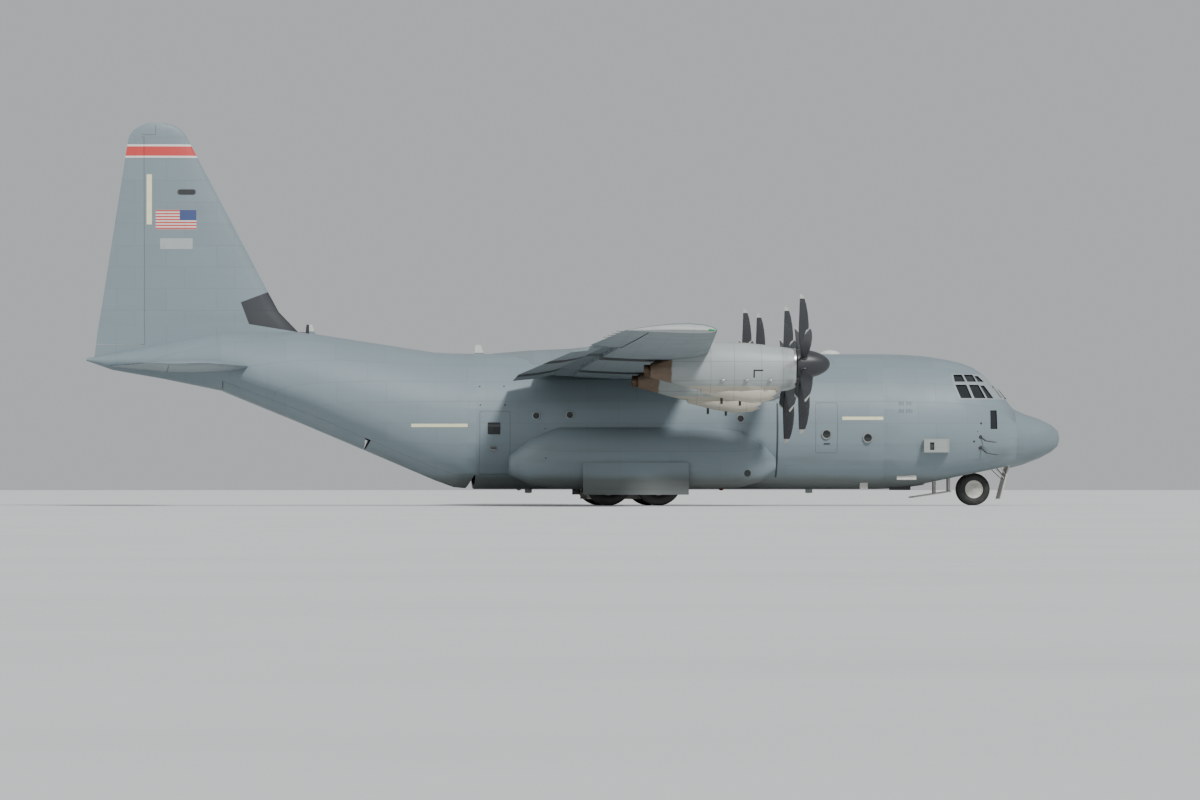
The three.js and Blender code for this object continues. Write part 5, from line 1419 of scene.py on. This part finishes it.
@dataclass
class Wheels:
    """The main and nose wheels with grooved tyres, rims and hubs."""

    shop: Workshop
    main_width: float = 0.50
    main_out: float = 2.175
    nose_width: float = 0.33
    nose_out: float = 0.28

    def build(self) -> None:
        """Replaces the CAD wheels."""
        for word, station in MAIN_WHEELS:
            body = f"main_wheel_{{side}}_{word}"
            centre = (station, self.main_out, MAIN_RADIUS)
            self._wheels(f"main_{{part}}_{word}", centre, self.main_width, 4, body)
            for side in Side:
                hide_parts(body.format(side=side.word))
        centre = (NOSE_GEAR, self.nose_out, NOSE_RADIUS)
        self._wheels("nose_{part}", centre, self.nose_width, 3, "nose_wheels")
        axle = rod("nose_axle", (NOSE_GEAR, -self.nose_out, NOSE_RADIUS), centre, 0.05, 20)
        self.shop.hand_over(axle, self.shop.steel, "gear_steel", "nose_wheels")
        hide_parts("nose_wheels")

    def _wheels(self, name: str, centre: Place, width: float, grooves: int, body: str) -> None:
        """Builds and hands over a left and a right wheel.

        Args:
            name: The pieces' name, in which {part} stands for tyre or hub.
            centre: The left wheel's centre, as high as its radius.
            width: Width across the walls.
            grooves: Number of grooves in the tread.
            body: The body's name, in which {side} stands for the side's word.
        """
        radius = centre[2]
        tyre = self._tyre(name.format(part="tyre"), radius, width, centre, grooves)
        hub = self._hub(name.format(part="hub"), radius, width, centre)
        self.shop.pair(tyre, self.shop.rubber, "tyre_black", body, 30)
        self.shop.pair(hub, self.shop.pale, "gear_steel", body, 30)

    def _tyre(self, name: str, radius: float, width: float, centre: Place, grooves: int) -> Piece:
        """A tyre with grooves round its tread.

        Args:
            name: The piece's name.
            radius: Outer radius.
            width: Width across the walls.
            centre: The wheel's centre.
            grooves: Number of grooves.

        Returns:
            The closed tyre.
        """
        wall = [(0.54, 0.30), (0.56, 0.40), (0.60, 0.435), (0.68, 0.485), (0.76, 0.50), (0.84, 0.488),
                (0.91, 0.44), (0.955, 0.37)]
        side = [(share * radius, along * width) for share, along in wall]
        half = 0.30 * width
        pitch = 2 * half / (grooves - 1)
        tread = [(0.985 * radius, half + 0.02)]
        for index in range(grooves):
            middle = half - index * pitch
            crown = radius * (1 - 0.02 * (middle / half) ** 2)
            tread += [(crown, middle + 0.014), (crown - 0.014, middle + 0.010),
                      (crown - 0.014, middle - 0.010), (crown, middle - 0.014)]
        tread.append((0.985 * radius, -half - 0.02))
        other = [(r, -along) for r, along in reversed(side)]
        outline = [*side, *tread, *other, side[0]]
        return lathe(name, outline, centre, Axis.Y, 72)

    def _hub(self, name: str, radius: float, width: float, centre: Place) -> Piece:
        """A rim with a dished disc, a cap, round openings' plugs and bolts on both faces."""
        station, out, height = centre
        shares = [(0.10, 0.40), (0.12, 0.37), (0.22, 0.345), (0.27, 0.30), (0.40, 0.24), (0.475, 0.26),
                  (0.50, 0.33), (0.535, 0.385), (0.555, 0.375)]
        side = [(share * radius, along * width) for share, along in shares]
        cap = [(0.0, 0.43 * width), (0.07 * radius, 0.43 * width), (0.09 * radius, 0.415 * width)]
        half = [*cap, *side]
        rim = lathe(name, [*half, *[(r, -along) for r, along in reversed(half)]], centre, Axis.Y, 48)
        parts = [rim]
        for sign in (1, -1):
            face = out + sign * 0.27 * width
            bolt = rod("bolt", (station, face - sign * 0.02, height + 0.32 * radius),
                       (station, face + sign * 0.028, height + 0.32 * radius), 0.016 * radius / 0.5, 6)
            parts.append(ring_of(bolt, 10, centre, Axis.Y))
            plug = rod("plug", (station, face - sign * 0.03, height + 0.43 * radius),
                       (station, face + sign * 0.006, height + 0.43 * radius), 0.03 * radius / 0.5, 14)
            parts.append(ring_of(plug, 8, centre, Axis.Y))
        return joined(name, parts)


@dataclass
class Gear:
    """The landing gear legs with brakes, links, lines and lamps."""

    shop: Workshop
    strut: float = 1.78
    # Foot and top of the main legs' chromed stretch
    chromed: Pair = (1.16, 1.46)
    # Rising places of the torque link's ends and knee
    link_heights: Place = (0.98, 1.22, 1.49)
    # Distances from the leg, aft and outwards, and heights of the main leg's line
    line_bends: tuple[Place, ...] = ((-0.12, -0.03, 1.80), (-0.13, -0.02, 1.40), (-0.17, 0.02, 1.10),
                                     (-0.12, 0.05, 0.86), (-0.02, 0.07, 0.80))
    nose_line_bends: tuple[Place, ...] = ((0.09, 0.07, 1.60), (0.11, 0.08, 1.20), (0.12, 0.07, 0.98))
    nose_collars: Place = (0.935, 1.10, 1.32)
    lamp_height: float = 1.14
    gear_door_rods: Pair = (12.1, 14.3)

    def build(self) -> None:
        """Paints the CAD pieces and adds the small parts."""
        self.shop.dress(["nose_leg", "nose_fork", "main_leg_left", "main_leg_right"], self.shop.pale)
        for word, station in MAIN_WHEELS:
            self._brake(word, station)
            self._main_leg(word, station)
        self._nose_leg()
        self._door_rods()

    def _brake(self, word: str, station: float) -> None:
        """A stack of brake discs with its piston ring inside each main wheel."""
        centre = (station, self.strut + 0.08, MAIN_RADIUS)
        discs = [(0.07, 0.02)]
        for index in range(4):
            at = 0.03 + index * 0.03
            discs += [(0.20, at), (0.20, at + 0.018), (0.185, at + 0.02), (0.185, at + 0.028)]
        discs += [(0.07, 0.15), (0.07, 0.02)]
        stack = lathe(f"brake_discs_{word}", discs, centre, Axis.Y, 40)
        self.shop.pair(stack, self.shop.steel, "gear_steel")
        piston = rod("piston", (station, self.strut + 0.055, MAIN_RADIUS + 0.14),
                     (station, self.strut + 0.105, MAIN_RADIUS + 0.14), 0.03, 14)
        pistons = ring_of(piston, 8, centre, Axis.Y)
        outline = [(0.08, 0.0), (0.185, 0.0), (0.185, 0.016), (0.08, 0.016), (0.08, 0.0)]
        plate = lathe("plate", outline, centre, Axis.Y, 32)
        brake = joined(f"brake_pistons_{word}", [pistons, plate])
        self.shop.pair(brake, self.shop.dark, "gear_steel")

    def _main_leg(self, word: str, station: float) -> None:
        """A chromed stretch, its collars, a hydraulic line and a torque link on each main leg."""
        sign = -1 if word == "front" else 1
        strut = self.strut
        foot, top = self.chromed
        polished = rod(f"main_piston_{word}", (station, strut, foot), (station, strut, top), 0.098, 28)
        self.shop.pair(polished, self.shop.chrome, "gear_steel")
        collars = [rod("collar", (station, strut, at), (station, strut, at + 0.06), 0.118, 28)
                   for at in (foot - 0.03, top - 0.01)]
        near, knee = station + sign * 0.10, station + sign * 0.30
        low, middle, high = self.link_heights
        link = [self._strap((near, strut, low), (knee, strut, middle), 0.055),
                self._strap((knee, strut, middle), (near, strut, high), 0.055)]
        pin = rod("pin", (knee, strut - 0.08, middle), (knee, strut + 0.08, middle), 0.024)
        links = joined(f"main_links_{word}", [*collars, *link, pin])
        self.shop.pair(links, self.shop.pale, "gear_steel")
        bends = [(station + sign * back, strut + out, up) for back, out, up in self.line_bends]
        self.shop.pair(self._hose(f"main_line_{word}", bends, 0.012), self.shop.dark, "gear_steel")

    def _strap(self, first: Place, last: Place, half: float) -> Piece:
        """A flat link between two places, wider than thick."""
        piece = rod("strap", first, last, 0.03, 8)
        middle = (spot(*first) + spot(*last)) / 2
        open_edit(piece)
        bpy.ops.transform.resize(value=(1, half / 0.03, 1), center_override=middle)
        close_edit()
        return piece

    def _hose(self, name: str, places: Sequence[Place], radius: float) -> Piece:
        """A bent pipe through several places.

        Args:
            name: The piece's name.
            places: The places, in full-size metres.
            radius: The pipe's radius.

        Returns:
            The pipe.
        """
        points = [spot(*place) for place in places]
        piece = start(bpy.ops.mesh.primitive_plane_add, "pipe", size=0.01, location=points[0])
        open_edit(piece)
        bpy.ops.mesh.merge(type="CENTER")
        for here, there in zip(points, points[1:]):
            bpy.ops.mesh.extrude_region_move(TRANSFORM_OT_translate={"value": there - here})
        close_edit()
        settle(piece)
        bpy.ops.object.convert(target="CURVE")
        piece = bpy.context.object
        bpy.ops.object.mode_set(mode="EDIT")
        bpy.ops.curve.select_all(action="SELECT")
        bpy.ops.curve.spline_type_set(type="NURBS")
        close_edit()
        piece.data.splines[0].use_endpoint_u = True
        piece.data.resolution_u = 5
        piece.data.bevel_depth = radius * MODEL_SCALE
        piece.data.bevel_resolution = 2
        piece.data.use_fill_caps = True
        bpy.ops.object.convert(target="MESH")
        piece = bpy.context.object
        clean(piece)
        piece.name = name
        return piece

    def _nose_leg(self) -> None:
        """The chromed stretch, collars, taxi lamps and line of the nose leg."""
        shop, station = self.shop, NOSE_GEAR
        polished = rod("nose_piston", (station, 0, 0.74), (station, 0, 0.925), 0.078, 28)
        shop.hand_over(polished, shop.chrome, "gear_steel", "nose_fork")
        collars = [rod("collar", (station, 0, at), (station, 0, at + 0.05), 0.115, 28)
                   for at in self.nose_collars]
        shop.hand_over(joined("nose_collars", collars), shop.pale, "gear_steel")
        for side in Side:
            out = side.value * 0.17
            outline = [(0.0, -0.10), (0.05, -0.09), (0.085, -0.02), (0.092, 0.03), (0.084, 0.03),
                       (0.078, 0.012), (0.0, 0.012)]
            middle = (station - 0.16, out, self.lamp_height)
            shell = lathe("lamp_shell", outline, middle, Axis.X, 28)
            bracket = rod("bracket", (station - 0.10, out, self.lamp_height),
                          (station, side.value * 0.08, self.lamp_height), 0.025)
            lamp = joined(f"taxi_lamp_{side.word}", [shell, bracket])
            shop.hand_over(lamp, shop.pale, "gear_steel")
            outline = [(0.0, 0.026), (0.05, 0.023), (0.08, 0.014), (0.0, 0.013)]
            lens = lathe(f"taxi_lens_{side.word}", outline, middle, Axis.X, 28)
            shop.hand_over(lens, shop.lens, "gear_steel")
        bends = [(station + back, out, up) for back, out, up in self.nose_line_bends]
        shop.hand_over(self._hose("nose_line", bends, 0.012), shop.dark, "gear_steel")

    def _door_rods(self) -> None:
        """Rods that hold the outer gear doors and the front nose door."""
        braces = [rod("brace", (1.69, 0.46, 0.93), (1.95, 0.67, 1.25), 0.016, 10),
                  rod("brace", (1.72, 0.46, 0.80), (2.10, 0.67, 1.18), 0.012, 10)]
        self.shop.pair(joined("nose_door_braces", braces), self.shop.pale, "gear_steel")
        rods = [rod("rod", (station, 2.56, 1.02), (station, 2.66, 0.90), 0.022, 12)
                for station in self.gear_door_rods]
        self.shop.pair(joined("gear_door_rods", rods), self.shop.pale, "gear_steel")


@dataclass
class Studio:
    """A pale floor, soft lights and the camera of the photograph's view from the floor."""

    azimuth: float = -3.7
    distance: float = 126.0
    eye_height: float = 0.3
    target: Place = (0.39, 0.0, 1.612)
    frame_width: int = 1200
    focal_pixels: float = 8243.0
    floor_size: float = 900.0
    sky: Colour = (0.78, 0.80, 0.82)
    sky_strength: float = 0.62
    # Name, strength, angle and turn of each sun, in degrees
    suns: tuple[tuple[str, float, float, Place], ...] = (
        ("key", 3.3, 10, (48, 0, 24)), ("fill", 0.6, 40, (70, 0, -50)))

    def build(self) -> None:
        """Builds floor, light and camera."""
        self._floor()
        self._world()
        self._lights()
        self._camera()

    def _floor(self) -> None:
        """A wide plain floor with a faint mottle."""
        floor = start(bpy.ops.mesh.primitive_plane_add, "studio_floor", size=self.floor_size)
        floor.data.materials.append(
            MottledFinish("studio_floor", (0.62, 0.63, 0.63), (0.58, 0.59, 0.60), (0.75, 0.9), scale=0.3,
                          depth=0.0002).build())

    def _world(self) -> None:
        """An even pale surrounding light."""
        world = bpy.data.worlds.new("studio")
        world.use_nodes = True
        background = world.node_tree.nodes["Background"]
        background.inputs["Color"].default_value = (*self.sky, 1)
        background.inputs["Strength"].default_value = self.sky_strength
        bpy.context.scene.world = world

    def _lights(self) -> None:
        """A broad key light high on the camera's side and a weak one from the nose."""
        for name, strength, angle, turn in self.suns:
            lamp = bpy.data.lights.new(name, "SUN")
            lamp.energy = strength
            lamp.angle = math.radians(angle)
            holder = bpy.data.objects.new(name, lamp)
            holder.rotation_euler = [math.radians(value) for value in turn]
            bpy.context.scene.collection.objects.link(holder)

    def _camera(self) -> None:
        """The camera, level with the floor and turned a little towards the tail."""
        turn = math.radians(self.azimuth)
        target = Vector(self.target)
        place = target + Vector((math.sin(turn), -math.cos(turn), 0)) * self.distance
        place.z = self.eye_height
        lens = bpy.data.cameras.new("camera")
        lens.sensor_width = 36.0
        lens.lens = self.focal_pixels / self.frame_width * lens.sensor_width
        lens.clip_end = 2000.0
        camera = bpy.data.objects.new("camera", lens)
        camera.location = place
        camera.rotation_euler = (target - place).to_track_quat("-Z", "Y").to_euler()
        bpy.context.scene.collection.objects.link(camera)
        bpy.context.scene.camera = camera


def main() -> None:
    """Loads the frame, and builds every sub-assembly and the studio."""
    logging.basicConfig(level=logging.INFO, format="%(message)s")
    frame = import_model()
    shop = Workshop(frame["nodes"])
    for assembly in (Hull(shop), Wing(shop), Engines(shop), Propellers(shop), Wheels(shop), Gear(shop)):
        log.info("building %s", type(assembly).__name__)
        assembly.build()
    Studio().build()


if __name__ == "__main__":
    main()
